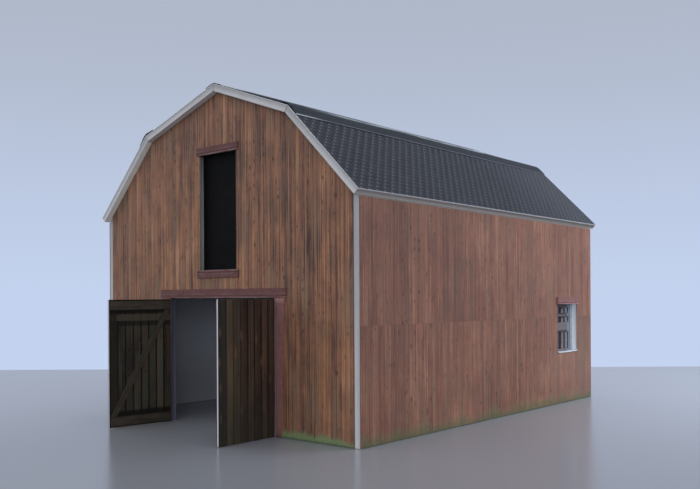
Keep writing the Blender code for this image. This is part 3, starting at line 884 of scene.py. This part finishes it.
def slate_finish(settings):
    """Printed slates in half bond: a lit side and half a lit foot on each, which join into stepped lines."""
    sizes, colours = settings.sizes, settings.colours
    surface = Surface("printed_slates", 0.55, 0.35)
    along, down, _ = surface.place()
    course = math.floor(down / sizes.slate_show)
    column = along / sizes.slate_width + (course % 2) * 0.5
    slate = math.floor(column)
    own = surface.chance(slate, course)
    mottle = surface.noise(surface.point(along * 900, down * 900, own * 9), 3, 0.6)
    cloud = surface.noise(surface.point(along * 18, down * 18), 2)
    body = tuple(colours.slate)
    tone = own * 0.3 + mottle * 0.45 + cloud * 0.3
    paint = surface.blend(tone, scaled(body, 1.5), scaled(body, 0.5))
    beside = column % 1
    within = (down / sizes.slate_show) % 1
    joint = 1 - surface.smooth(beside, 0.05, 0.10)
    foot = surface.smooth(within, 0.74, 0.84) * (0.12 + 0.7 * (beside < 0.26))
    worn = surface.noise(surface.point(along * 220, down * 220), 2) * 0.8 + 0.5
    lit = surface.maths("MAXIMUM", joint * surface.smooth(within, 0.1, 0.5), foot)
    paint = surface.blend(lit * worn, paint, tuple(colours.slate_line))
    # Painted sheen: the slates grow paler towards one end of each slope
    pale = 1 - surface.smooth(along, *SLATE_SHEEN)
    paint = surface.blend(pale * 0.17, paint, tuple(colours.slate_line))
    surface.paint(paint)
    surface.roughen(0.5 + mottle * 0.2)
    surface.emboss(mottle, 0.00004)
    return surface.material


def slate_rows(run, show, riser):
    """Places down the slope from its head, each with its course from the foot and its share of the relief."""
    rows = []
    foot, course = run, 0
    while foot > riser:
        head = max(foot - show, 0)
        rows.append((foot, course, 1.0))
        rows.append((head + riser, course, 0.0))
        foot, course = head, course + 1
    rows.reverse()
    return rows


def slate_columns(run, width, joint):
    """Places along the barn, each with the number of the joint that it is the middle of, or None."""
    half = width / 2
    columns = [(0.0, None)]
    for number in range(1, int(run / half)):
        middle = number * half
        columns += [(middle - joint, None), (middle, number), (middle + joint, None)]
    columns.append((run, None))
    return columns


def slate_sheet(slope, finish, settings):
    """A sheet of slates in half bond, each course stepping out over the next."""
    sizes = settings.sizes
    node = f"slate_sheet_{slope}"
    solid = copied_shape(node)
    outward = broad_normal(solid)
    along = Vector((0, 1 if outward.x < 0 else -1, 0))
    down = outward.cross(along)
    reach = {}
    for name, axis in (("along", along), ("down", down), ("out", outward)):
        values = [vertex.co.dot(axis) for vertex in solid.verts]
        reach[name] = (min(values), max(values))
    solid.free()
    run_along = reach["along"][1] - reach["along"][0]
    run_down = reach["down"][1] - reach["down"][0]
    thickness = reach["out"][1] - reach["out"][0]
    shape = bmesh.new()
    grid = []
    for place, course, relief in slate_rows(run_down, sizes.slate_show, sizes.slate_riser):
        line = []
        for across, number in slate_columns(run_along, sizes.slate_width, sizes.slate_joint):
            grooved = number is not None and (number + course) % 2 == 0
            height = -sizes.slate_relief * (1 - relief) * 0.8
            if grooved:
                height = -sizes.slate_relief
            line.append(shape.verts.new((across, place - run_down, height)))
        grid.append(line)
    for upper, lower in zip(grid, grid[1:]):
        for index in range(len(upper) - 1):
            shape.faces.new((upper[index], upper[index + 1], lower[index + 1], lower[index]))
    shape.normal_update()
    if sum(face.normal.z for face in shape.faces) < 0:
        bmesh.ops.reverse_faces(shape, faces=shape.faces)
    border = [edge for edge in shape.edges if edge.is_boundary]
    walls = bmesh.ops.extrude_edge_only(shape, edges=border)["geom"]
    for part in walls:
        if isinstance(part, bmesh.types.BMVert):
            part.co.z = -thickness
        elif isinstance(part, bmesh.types.BMFace):
            part.material_index = 1
    rim = [part for part in walls if isinstance(part, bmesh.types.BMEdge) and part.is_boundary]
    for face in bmesh.ops.holes_fill(shape, edges=rim)["faces"]:
        face.material_index = 1
    bmesh.ops.recalc_face_normals(shape, faces=shape.faces)
    origin = along * reach["along"][0] + down * reach["down"][1] + outward * reach["out"][1]
    turn = Matrix((along, down, outward)).transposed().to_4x4()
    make_piece(
        f"slates_{slope}", shape, "barn", [node], [finish, settings.finishes.core],
        Matrix.Translation(origin) @ turn,
    )


class BARN_OT_slates(bpy.types.Operator):
    """Lay the slate sheets on the four slopes"""

    bl_idname = "barn.slates"
    bl_label = "Slates"

    def execute(self, context):
        settings = Settings(context.scene)
        finish = slate_finish(settings)
        for slope in SLOPES:
            slate_sheet(slope, finish, settings)
        return {"FINISHED"}


def strip_finish(name, ends, crest, settings):
    """Plain dark strip paper, rubbed pale along its cut edges and, in places, along its fold."""
    colours = settings.colours
    surface = Surface(name, 0.5, 0.25)
    x, y, z = surface.place()
    mottle = surface.noise(surface.point(x * 800, y * 300, z * 800), 3, 0.6)
    streak = surface.noise(surface.point(x * 60, y * 14, z * 60), 3)
    body = tuple(colours.strip)
    paint = surface.blend(
        mottle * 0.5 + streak * 0.5, scaled(body, 1.6), scaled(body, 0.5)
    )
    rubbed = surface.smooth(surface.noise(surface.point(y * 45, x * 20), 2), 0.3, 0.6)
    for end in ends:
        line = 1 - surface.smooth(abs(x - end), 0.0003, 0.00075)
        near = 1 - surface.smooth(y, FRONT_FACE + 0.008, FRONT_FACE + 0.03)
        paint = surface.blend(line * (0.08 + 0.12 * rubbed + 0.5 * near), paint, tuple(colours.strip_wear))
    fold = 1 - surface.smooth(abs(x - crest), 0.0014, 0.0027)
    front = FRONT_FACE + settings.sizes.strip_joint
    stretch = surface.smooth(y, FRONT_FACE + 0.01, FRONT_FACE + 0.07) * (y < front)
    paint = surface.blend(fold * stretch * (0.4 + 0.4 * rubbed), paint, tuple(colours.strip_wear))
    surface.paint(paint)
    surface.roughen(0.48 + mottle * 0.2)
    surface.emboss(mottle, 0.00003)
    return surface.material


class BARN_OT_strips(bpy.types.Operator):
    """Fold the plain strips over the ridge and the breaks of the roof"""

    bl_idname = "barn.strips"
    bl_label = "Roof Strips"

    def execute(self, context):
        settings = Settings(context.scene)
        for node, lifted in (("break_strip_left", True), ("ridge_strip", False), ("break_strip_right", True)):
            self.fold_strip(node, lifted, settings)
        return {"FINISHED"}

    def fold_strip(self, node, lifted, settings):
        """Two lengths of strip, folded over one corner; on a break strip the front one stands a little off
        the roof.
        """
        sizes = settings.sizes
        low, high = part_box(node)
        lengths = (("front", 1), ("rear", -1))
        for part, way in lengths:
            shape = copied_shape(node)
            lean = Vector((math.copysign(0.55, low.x + high.x) if lifted else 0, 0, 0.83))
            crest = max((vertex.co for vertex in shape.verts), key=lambda place: place.dot(lean)).copy()
            finish = strip_finish(f"{node}_paper_{part}", (low.x, high.x), crest.x, settings)
            joint = Vector((0, FRONT_FACE + sizes.strip_joint - way * PAPER / 4, 0))
            trimmed(shape, joint, Vector((0, way, 0)))
            folds = [
                edge for edge in shape.edges
                if abs(edge.verts[0].co.y - edge.verts[1].co.y) > WELD and edge.calc_face_angle() < BLUNT
            ]
            bmesh.ops.bevel(
                shape, geom=folds, offset=sizes.fold_round, segments=6, affect="EDGES", profile=0.5
            )
            thickness = fold_thickness(shape)
            for face in shape.faces:
                if abs(face.normal.y) < SIDEWAYS and section_run(face) < thickness * 1.1:
                    face.material_index = 1
            sliced(shape, Vector((0, 1, 0)), 0.008)
            if lifted and way > 0:
                self.lift_fold(shape, crest, sizes)
            finishes = [finish, settings.finishes.strip_core]
            make_piece(f"{node}_paper_{part}", shape, "barn", [node], finishes)

    def lift_fold(self, shape, crest, sizes):
        """Raise the fold over its length, a little unevenly, as a springy fold stands."""
        outward = Vector((math.copysign(0.55, crest.x), 0, 0.83))
        for vertex in shape.verts:
            away = Vector((vertex.co.x - crest.x, vertex.co.z - crest.z)).length
            if away < sizes.fold_round * 1.6:
                wave = noise.noise(Vector((vertex.co.y * 14, crest.x * 90, 0)))
                vertex.co += outward * sizes.fold_lift * (0.8 + 0.5 * wave)


def section_run(face):
    """Length of a face's section across the barn."""
    flat = [Vector((vertex.co.x, vertex.co.z)) for vertex in face.verts]
    return max((a - b).length for a in flat for b in flat)


def fold_thickness(shape):
    return min(section_run(face) for face in shape.faces if abs(face.normal.y) < SIDEWAYS)


def sliced(shape, axis, pitch):
    """Cut a strip into short lengths along an axis, so that it can bend."""
    values = [vertex.co.dot(axis) for vertex in shape.verts]
    low, high = min(values), max(values)
    count = max(2, round((high - low) / pitch))
    for number in range(1, count):
        geometry = shape.verts[:] + shape.edges[:] + shape.faces[:]
        at = low + (high - low) * number / count
        bmesh.ops.bisect_plane(shape, geom=geometry, plane_co=axis * at, plane_no=axis, dist=WELD / 10)
    return low, high


def ragged_strip(node, name, outward, long_axis, across_axis, finish, settings, taper=0.0, inner=0.0):
    """A card strip cut by hand: its edges wander, and its width can taper towards its foot."""
    sizes = settings.sizes
    shape = copied_shape(node)
    push_back(shape, outward, GLUE_GAP)
    pitch = 0.004
    low, high = sliced(shape, long_axis, pitch)
    centre = sum((vertex.co.dot(across_axis) for vertex in shape.verts)) / len(shape.verts)
    seed = sum(ord(letter) for letter in name) * 0.37
    for vertex in shape.verts:
        along = vertex.co.dot(long_axis)
        side = vertex.co.dot(across_axis) - centre
        wander = noise.noise(Vector((along * 260, seed, 5 if side > 0 else 0)))
        ends = min(1, (along - low) / pitch, (high - along) / pitch)
        shift = -abs(wander) * sizes.ragged * 2 * ends
        if side * inner < 0:
            shift -= taper * (high - along) / (high - low)
        if side * inner <= 0:
            vertex.co += across_axis * math.copysign(1, side) * shift
    round_edges(shape, sizes.card_round)
    return make_piece(name, shape, "barn", [node], [finish])


class BARN_OT_trim(bpy.types.Operator):
    """Glue the red-brown trim round the openings"""

    bl_idname = "barn.trim"
    bl_label = "Trim"

    def execute(self, context):
        settings = Settings(context.scene)
        colours = settings.colours
        run = settings.sizes.trim_line
        x, y, z = Vector((1, 0, 0)), Vector((0, 1, 0)), Vector((0, 0, 1))
        rows = (
            ("door_post_left", -y, z, x, 1, 0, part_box("door_post_left")[1].x, settings.sizes.post_taper),
            ("door_post_right", -y, z, x, -1, 0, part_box("door_post_right")[0].x, settings.sizes.post_taper),
            ("door_lintel", -y, x, z, -1, 2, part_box("door_lintel")[0].z, 0),
            ("loft_lintel", -y, x, z, -1, 2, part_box("loft_lintel")[0].z, 0),
            ("loft_sill", -y, x, z, 1, 2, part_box("loft_sill")[1].z, 0),
            ("window_lintel", x, y, z, -1, 2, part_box("window_lintel")[0].z, 0),
        )
        for node, outward, long_axis, across_axis, inner, axis, edge, taper in rows:
            # Painted light and shade: the post beside the open leaf and the window lintel take paler copies
            # of the trim, the hayloft lintel a darker one
            tint = colours.trim_painted_light if node == "door_post_right" else colours.trim
            if node == "window_lintel":
                tint = between(colours.trim, colours.trim_painted_light, 0.35)
            elif node == "loft_lintel":
                tint = scaled(tint, 0.86)
            finish = card_finish(f"{node}_print", tint, colours.trim_line, axis, edge, run)
            ragged_strip(
                node, f"{node}_card", outward, long_axis, across_axis, finish, settings, taper, inner
            )
        return {"FINISHED"}


class BARN_OT_openings(bpy.types.Operator):
    """Finish the window and the back of the hayloft opening"""

    bl_idname = "barn.openings"
    bl_label = "Window and Hayloft"

    def execute(self, context):
        settings = Settings(context.scene)
        colours, sizes = settings.colours, settings.sizes
        # Painted shade: a near-black card stands in for the unlit loft behind the opening
        dress_node("loft_backing", card_finish("black_card", colours.loft_shade_black, gloss=0.08))
        white = board_finish("window_card", colours.window_card)
        dress_node("window_card", white)
        dress_node("window_film", self.pane_finish(colours))
        shape = copied_shape("window_bars")
        round_edges(shape, sizes.card_round)
        bars = self.bar_finish(colours)
        make_piece("window_bar_frame", shape, "barn", ["window_bars"], [bars])
        self.build_sill(sizes, white)
        return {"FINISHED"}

    def bar_finish(self, colours):
        """Brown-grey bars with dark rails printed across them and a grey-blue stile at the far side."""
        surface = Surface("window_bar_print", 0.6, 0.25)
        x, y, z = surface.place()
        low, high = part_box("window_bars")
        fine = surface.noise(surface.point(x * 700, y * 700, z * 500), 3, 0.6)
        dark = tuple(colours.pane)
        paint = surface.blend(fine * 0.7, scaled(colours.bar, 1.4), scaled(colours.bar, 0.5))
        for foot, head in ((high.z - TOP_RAIL, high.z), *WINDOW_RAILS):
            rail = surface.band(z, foot - RAIL_SOFTNESS, head + RAIL_SOFTNESS, RAIL_SOFTNESS)
            paint = surface.blend(rail * 0.75, paint, dark)
        stile = surface.smooth(y, high.y - 0.0085, high.y - 0.0075)
        paint = surface.blend(stile * 0.85, paint, tuple(colours.stile))
        surface.paint(paint)
        surface.roughen(0.5 + fine * 0.2)
        surface.emboss(fine, 0.00003)
        return surface.material

    def pane_finish(self, colours):
        surface = Surface("window_pane", 0.2, 0.3)
        x, y, z = surface.place()
        cloud = surface.noise(surface.point(x * 200, y * 200, z * 120), 2)
        tint = tuple(colours.pane)
        paint = surface.blend(cloud, scaled(tint, 1.8), scaled(tint, 0.4))
        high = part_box("window_bars")[1]
        stile = surface.smooth(y, high.y - 0.0105, high.y - 0.0095)
        surface.paint(surface.blend(stile * 0.8, paint, tuple(colours.stile)))
        surface.roughen(0.16 + cloud * 0.2)
        return surface.material

    def build_sill(self, sizes, finish):
        """A thin sill that sags a little between its ends."""
        shape = copied_shape("window_sill")
        low, high = sliced(shape, Vector((0, 1, 0)), 0.003)
        for vertex in shape.verts:
            part = (vertex.co.y - low) / (high - low)
            vertex.co.z += sizes.sill_bow * (abs(2 * part - 1) ** 2)
        round_edges(shape, sizes.card_round)
        make_piece("window_sill_card", shape, "barn", ["window_sill"], [finish])


def leaf_place(side):
    """The frame of a closed door leaf, closed being its wider limit: its fold at the origin, along X."""
    joint = next(joint for joint in frame["joints"] if joint["name"] == f"{side}_door_hinge")
    closed = max(joint["range_deg"], key=abs)
    x, y, _ = joint["pos_m"]
    return Matrix.Translation((x, y, 0)) @ Matrix.Rotation(-math.radians(closed), 4, "Z")


def leaf_look(colours, plank, inner, seed):
    wood = tuple(colours.leaf_inside if inner else colours.leaf_wood)
    light = tuple((0.75 if inner else 1.0) * part for part in colours.leaf_light)
    orange = between(light, wood, 2 / 3)
    dark = tuple(colours.leaf_dark)
    return PlankLook(
        dark, wood, orange, light, dark, scaled(dark, 0.5), plank,
        contrast=0.8, spread=0.55, joint=0, knots=0.2, streaks=0.55, stains=0.45, seed=seed,
    )


def leaf_planks(surface, x, z, look, seed):
    """Plank print with each plank's own tone and a dark gap beside it."""
    paint = plank_print(surface, x, z, look)
    column = x / look.plank
    own = surface.chance(math.floor(column), seed)
    paint = surface.blend(own * 0.5, paint, look.dark)
    edge = abs(column % 1 - 0.5) * look.plank
    wobble = surface.noise(surface.point(x * 300, z * 60, seed), 2) * 0.0006
    gap = surface.smooth(edge + wobble, look.plank / 2 - 0.0006, look.plank / 2)
    return surface.blend(gap * 0.95, paint, look.knot)


def leaf_outer_finish(side, plank, settings):
    colours = settings.colours
    surface = Surface(f"{side}_leaf_outer_print", 0.55, 0.2)
    x, y, z = surface.place()
    look = leaf_look(colours, plank, False, 41.0)
    paint = leaf_planks(surface, x, z, look, 5.0)
    number = abs(x) / plank
    olive = (number > 5) * (number < 7)
    paint = surface.blend(olive * 0.45, paint, tuple(colours.leaf_olive))
    count = settings.sizes.leaf_planks
    last = surface.smooth(number, count - 1.1, count - 0.9)
    paint = surface.blend(last * 0.7, paint, tuple(colours.leaf_end))
    near_spot, own_spot = surface.cells(surface.point(x / plank, z / 0.024, 8), 1.0)
    spot = (1 - surface.smooth(near_spot, 0.05, 0.22)) * (own_spot < 0.35)
    paint = surface.blend(spot * 0.5, paint, tuple(colours.leaf_light))
    dim = 1 - surface.smooth(z, 0.0, 0.075)
    paint = surface.blend(dim * 0.55, paint, tuple(colours.leaf_foot))
    surface.paint(paint)
    fibre = surface.noise(surface.point(x * 2200, y * 2200, z * 2200), 2)
    surface.roughen(0.55 + fibre * 0.16)
    surface.emboss(fibre, 0.00003)
    return surface.material


def leaf_inner_finish(side, plank, strips, settings):
    """Dark planks with the shadows of the ledges and the brace printed beside them."""
    surface = Surface(f"{side}_leaf_inner_print", 0.55, 0.2)
    x, y, z = surface.place()
    colours = settings.colours
    look = leaf_look(colours, plank, True, 57.0)
    paint = leaf_planks(surface, x, z, look, 11.0)
    bottom, top, start, end = strips
    ribbed = surface.noise(surface.point(x * 150, z * 900), 2)
    line = 1 - surface.smooth(abs(z - top + 0.0062), 0.0022, 0.0030)
    second = surface.blend(ribbed, scaled(colours.ledge, 1.5), scaled(colours.ledge, 0.8))
    paint = surface.blend(line * 0.85, paint, second)
    shadow = 1 - surface.smooth(z, bottom + 0.003, bottom + 0.0055)
    shadow = surface.maths("MAXIMUM", shadow, surface.smooth(z, top - 0.0034, top - 0.0026))
    under = surface.smooth(z, top - 0.0135, top - 0.0125)
    under = under * (1 - surface.smooth(z, top - 0.0094, top - 0.0086))
    shadow = surface.maths("MAXIMUM", shadow, under * 0.8)
    slope = (end.x - start.x) / (end.z - start.z)
    beside = (x - start.x - (z - start.z) * slope) * -math.copysign(1, slope)
    band = surface.smooth(beside, -0.0005, 0.0005) * (1 - surface.smooth(beside, 0.0034, 0.0056))
    shadow = surface.maths("MAXIMUM", shadow, band * 0.9)
    count = settings.sizes.leaf_planks
    last = surface.smooth(abs(x) / plank, count - 1.0, count - 0.8)
    shadow = surface.maths("MAXIMUM", shadow, last * 0.75)
    surface.paint(surface.blend(shadow * 0.85, paint, scaled(colours.leaf_dark, 0.5)))
    fibre = surface.noise(surface.point(x * 2200, y * 2200, z * 2200), 2)
    surface.roughen(0.55 + fibre * 0.16)
    surface.emboss(fibre, 0.00003)
    return surface.material


def ledge_finish(name, tint, lengthwise, shape):
    """Printed strip with grain along its own length and dark edges."""
    surface = Surface(name, 0.55, 0.25)
    x, y, z = surface.place()
    along = x * lengthwise[0] + z * lengthwise[1]
    across = z * lengthwise[0] - x * lengthwise[1]
    grain = surface.noise(surface.point(along * 90, across * 1800), 3, 0.6)
    cloud = surface.noise(surface.point(along * 120, across * 250, 4), 2)
    places = [vertex.co.z * lengthwise[0] - vertex.co.x * lengthwise[1] for vertex in shape.verts]
    middle, half = (max(places) + min(places)) / 2, (max(places) - min(places)) / 2
    tint = tuple(tint)
    paint = surface.blend(grain * 0.7 + cloud * 0.45, scaled(tint, 2.0), scaled(tint, 0.25))
    edge = surface.smooth(abs(across - middle), half - 0.0011, half - 0.0002)
    paint = surface.blend(edge * 0.7, paint, scaled(tint, 0.2))
    score = surface.smooth(surface.noise(surface.point(along * 25, across * 700, 9), 2), 0.54, 0.66)
    surface.paint(surface.blend(score * 0.55, paint, scaled(tint, 0.25)))
    surface.roughen(0.45 + grain * 0.2)
    surface.emboss(grain, 0.00005)
    return surface.material


def local_shape(node, place):
    shape = copied_shape(node)
    shape.transform(place.inverted())
    shape.normal_update()
    return shape


def shape_box(shape):
    low = Vector([min(vertex.co[axis] for vertex in shape.verts) for axis in range(3)])
    high = Vector([max(vertex.co[axis] for vertex in shape.verts) for axis in range(3)])
    return low, high


class BARN_OT_doors(bpy.types.Operator):
    """Build the two door leaves with their papers, ledges and braces"""

    bl_idname = "barn.doors"
    bl_label = "Doors"

    def execute(self, context):
        settings = Settings(context.scene)
        for side in ("left", "right"):
            self.build_leaf(side, settings)
        return {"FINISHED"}

    def build_leaf(self, side, settings):
        sizes, colours, finishes = settings.sizes, settings.colours, settings.finishes
        body = f"{side}_door"
        place = leaf_place(side)
        back = Vector((0, 1, 0))
        shape = local_shape(f"{side}_leaf_board", place)
        low, high = shape_box(shape)
        plank = (high.x - low.x) / sizes.leaf_planks
        for vertex in shape.verts:
            vertex.co.y += GLUE_GAP * (1 if vertex.co.y > (low.y + high.y) / 2 else -1)
        round_edges(shape, sizes.edge_round)
        # Painted shade: the white card's top faces take the dark paper-edge finish
        for face in shape.faces:
            face.material_index = 1 if face.normal.z > SIDEWAYS else 0
        cards = [finishes.card, finishes.leaf_edge]
        make_piece(f"{side}_leaf_card", shape, body, [f"{side}_leaf_board"], cards, place)
        outer = leaf_outer_finish(side, plank, settings)
        self.sheet(side, "outer_paper", "outer_sheet", "leaf_outer_paper", outer, place, finishes)
        strips = {}
        for strip in ("bottom_ledge", "top_ledge", "brace"):
            strips[strip] = local_shape(f"{side}_leaf_{strip}", place)
        brace_low, brace_high = shape_box(strips["brace"])
        way = 1 if high.x > -low.x else -1
        fold_end = Vector((brace_low.x if way > 0 else brace_high.x, 0, brace_high.z))
        free_end = Vector((brace_high.x if way > 0 else brace_low.x, 0, brace_low.z))
        width = self.brace_width(strips["brace"], way)
        lines = (
            shape_box(strips["bottom_ledge"])[1].z,
            shape_box(strips["top_ledge"])[0].z,
            free_end - Vector((way * width, 0, 0)),
            fold_end,
        )
        inner = leaf_inner_finish(side, plank, lines, settings)
        self.sheet(side, "inner_paper", "inner_sheet", "leaf_inner_paper", inner, place, finishes)
        run = (fold_end - free_end).normalized()
        ways = {"bottom_ledge": (1, 0), "top_ledge": (1, 0), "brace": (run.x, run.z)}
        for strip, shape in strips.items():
            finish = ledge_finish(f"{side}_{strip}_print", colours.ledge, ways[strip], shape)
            push_back(shape, back, GLUE_GAP)
            round_edges(shape, sizes.card_round)
            node = f"{side}_leaf_{strip}"
            make_piece(f"{side}_{strip}_card", shape, body, [node], [finish], place)

    def sheet(self, side, layer, name, slot, finish, place, finishes):
        shape = local_shape(f"{side}_leaf_{layer}", place)
        for face in shape.faces:
            face.material_index = 0 if abs(face.normal.y) > FACING else 1
        make_piece(
            f"{side}_leaf_{name}", shape, f"{side}_door", [f"{side}_leaf_{layer}"],
            [finish, finishes.leaf_edge], place,
        )

    def brace_width(self, shape, way):
        top = max(vertex.co.z for vertex in shape.verts)
        heads = [vertex.co.x for vertex in shape.verts if vertex.co.z > top - WELD]
        return max(heads) - min(heads)


class BARN_OT_stage(bpy.types.Operator):
    """Set up the floor, the backdrop, the light and the camera"""

    bl_idname = "barn.stage"
    bl_label = "Stage"

    def execute(self, context):
        stage = context.scene.barn_stage
        context.scene.view_settings.view_transform = "Standard"
        self.build_floor(stage)
        self.build_world(context.scene, stage)
        self.build_lamps(context.scene, stage)
        self.build_camera(context.scene, stage)
        return {"FINISHED"}

    def build_floor(self, stage):
        """A plain table top whose far edge lies behind the barn."""
        view = Vector((-math.sin(stage.camera_turn), math.cos(stage.camera_turn), 0))
        side = Vector((view.y, -view.x, 0))
        eye = Vector((stage.camera_x, stage.camera_y, 0))
        far = eye + view * stage.table_depth
        shape = bmesh.new()
        corners = []
        outline = ((0, -FLOOR_SIDE), (0, FLOOR_SIDE), (-FLOOR_NEAR, FLOOR_SIDE), (-FLOOR_NEAR, -FLOOR_SIDE))
        for along, across in outline:
            corners.append(shape.verts.new(far + view * along + side * across))
        shape.faces.new(corners)
        shape.normal_update()
        if shape.faces[:][0].normal.z < 0:
            bmesh.ops.reverse_faces(shape, faces=shape.faces)
        mesh = bpy.data.meshes.new("floor")
        shape.to_mesh(mesh)
        shape.free()
        floor = bpy.data.objects.new("floor", mesh)
        bpy.context.scene.collection.objects.link(floor)
        surface = Surface("plain_floor", stage.floor_rough, 0.5)
        x, y, _ = surface.place()
        cloud = surface.noise(surface.point(x * 6, y * 6), 3)
        tint = tuple(stage.floor)
        depth = (x - eye.x) * view.x + (y - eye.y) * view.y
        # Painted shade: the floor is darker towards the camera
        near = 1 - surface.smooth(depth, *FLOOR_SHADE)
        tone = surface.blend(near, tint, scaled(tint, 0.70))
        surface.paint(surface.blend(cloud * 0.2, tone, scaled(tint, 0.82)))
        mesh.materials.append(surface.material)

    def build_world(self, scene, stage):
        world = bpy.data.worlds.new("soft_light")
        world.use_nodes = True
        scene.world = world
        nodes = Finish(world.node_tree)
        world.node_tree.nodes.clear()
        rays = nodes.node("ShaderNodeLightPath")
        seen = nodes.maths("MAXIMUM", nodes.field(rays, "Is Camera Ray"), nodes.field(rays, "Is Glossy Ray"))
        seen = nodes.maths("MAXIMUM", seen, nodes.field(rays, "Is Transmission Ray"))
        coordinates = nodes.node("ShaderNodeTexCoord")
        parts = nodes.node("ShaderNodeSeparateXYZ", None, {"Vector": nodes.field(coordinates, "Generated")})
        height = nodes.smooth(nodes.field(parts, "Z"), -0.05, 0.36)
        backdrop = nodes.blend(height, tuple(stage.horizon), tuple(stage.upper))
        dome = nodes.node(
            "ShaderNodeBackground", None, {"Color": tuple(stage.dome), "Strength": stage.dome_level}
        )
        plain = nodes.node("ShaderNodeBackground", None, {"Color": backdrop, "Strength": 1.0})
        mixed = nodes.node("ShaderNodeMixShader", None, {
            0: seen, 1: nodes.field(dome, "Background"), 2: nodes.field(plain, "Background")})
        nodes.node("ShaderNodeOutputWorld", None, {"Surface": nodes.field(mixed, "Shader")})

    def build_lamps(self, scene, stage):
        """Two wide soft lamps: one beside the barn's far end, and a weak one that looks into the doorway."""
        for name, (place, aim), level in (
            ("far_lamp", FAR_LAMP, stage.lamp_level),
            ("front_lamp", FRONT_LAMP, stage.front_lamp_level),
        ):
            data = bpy.data.lights.new(name, "AREA")
            data.color = stage.lamp
            data.energy = level
            data.size = stage.lamp_size
            lamp = bpy.data.objects.new(name, data)
            scene.collection.objects.link(lamp)
            turn = (aim - place).to_track_quat("-Z", "Y").to_matrix().to_4x4()
            lamp.matrix_world = Matrix.Translation(place) @ turn
            lamp.visible_camera = False
            lamp.visible_glossy = False

    def build_camera(self, scene, stage):
        data = bpy.data.cameras.new("view")
        data.sensor_width = FILM_WIDTH
        data.lens = stage.focal_pixels * FILM_WIDTH / PICTURE_WIDTH
        data.shift_y = stage.rise_pixels / PICTURE_WIDTH
        data.clip_start = 0.01
        camera = bpy.data.objects.new("view", data)
        scene.collection.objects.link(camera)
        level = Matrix.Rotation(stage.camera_turn, 4, "Z") @ Matrix.Rotation(math.pi / 2, 4, "X")
        rolled = level @ Matrix.Rotation(-stage.camera_roll, 4, "Z")
        camera.matrix_world = Matrix.Translation((stage.camera_x, stage.camera_y, stage.camera_z)) @ rolled
        scene.camera = camera


STEPS = (
    BARN_OT_boards,
    BARN_OT_papers,
    BARN_OT_slates,
    BARN_OT_strips,
    BARN_OT_trim,
    BARN_OT_openings,
    BARN_OT_doors,
    BARN_OT_stage,
)


class BARN_PT_panel(bpy.types.Panel):
    """Lists the steps that dress the barn, with their sizes and colours."""

    bl_idname = "BARN_PT_panel"
    bl_label = "Model Barn"
    bl_space_type = "VIEW_3D"
    bl_region_type = "UI"
    bl_category = "Barn"

    def draw(self, context):
        layout = self.layout
        for step in STEPS:
            layout.operator(step.bl_idname)
        for title, group in (
            ("Sizes", context.scene.barn_sizes),
            ("Colours", context.scene.barn_colours),
            ("Stage", context.scene.barn_stage),
        ):
            box = layout.box()
            box.label(text=title)
            for name in group.__annotations__:
                box.prop(group, name)


CLASSES = (BarnSizes, BarnColours, BarnStage, *STEPS, BARN_PT_panel)


def register():
    for cls in CLASSES:
        bpy.utils.register_class(cls)
    bpy.types.Scene.barn_sizes = PointerProperty(type=BarnSizes)
    bpy.types.Scene.barn_colours = PointerProperty(type=BarnColours)
    bpy.types.Scene.barn_stage = PointerProperty(type=BarnStage)


def unregister():
    del bpy.types.Scene.barn_stage
    del bpy.types.Scene.barn_colours
    del bpy.types.Scene.barn_sizes
    for cls in reversed(CLASSES):
        bpy.utils.unregister_class(cls)


def main():
    register()
    bpy.ops.barn.boards()
    bpy.ops.barn.papers()
    bpy.ops.barn.slates()
    bpy.ops.barn.strips()
    bpy.ops.barn.trim()
    bpy.ops.barn.openings()
    bpy.ops.barn.doors()
    bpy.ops.barn.stage()


if __name__ == "__main__":
    main()
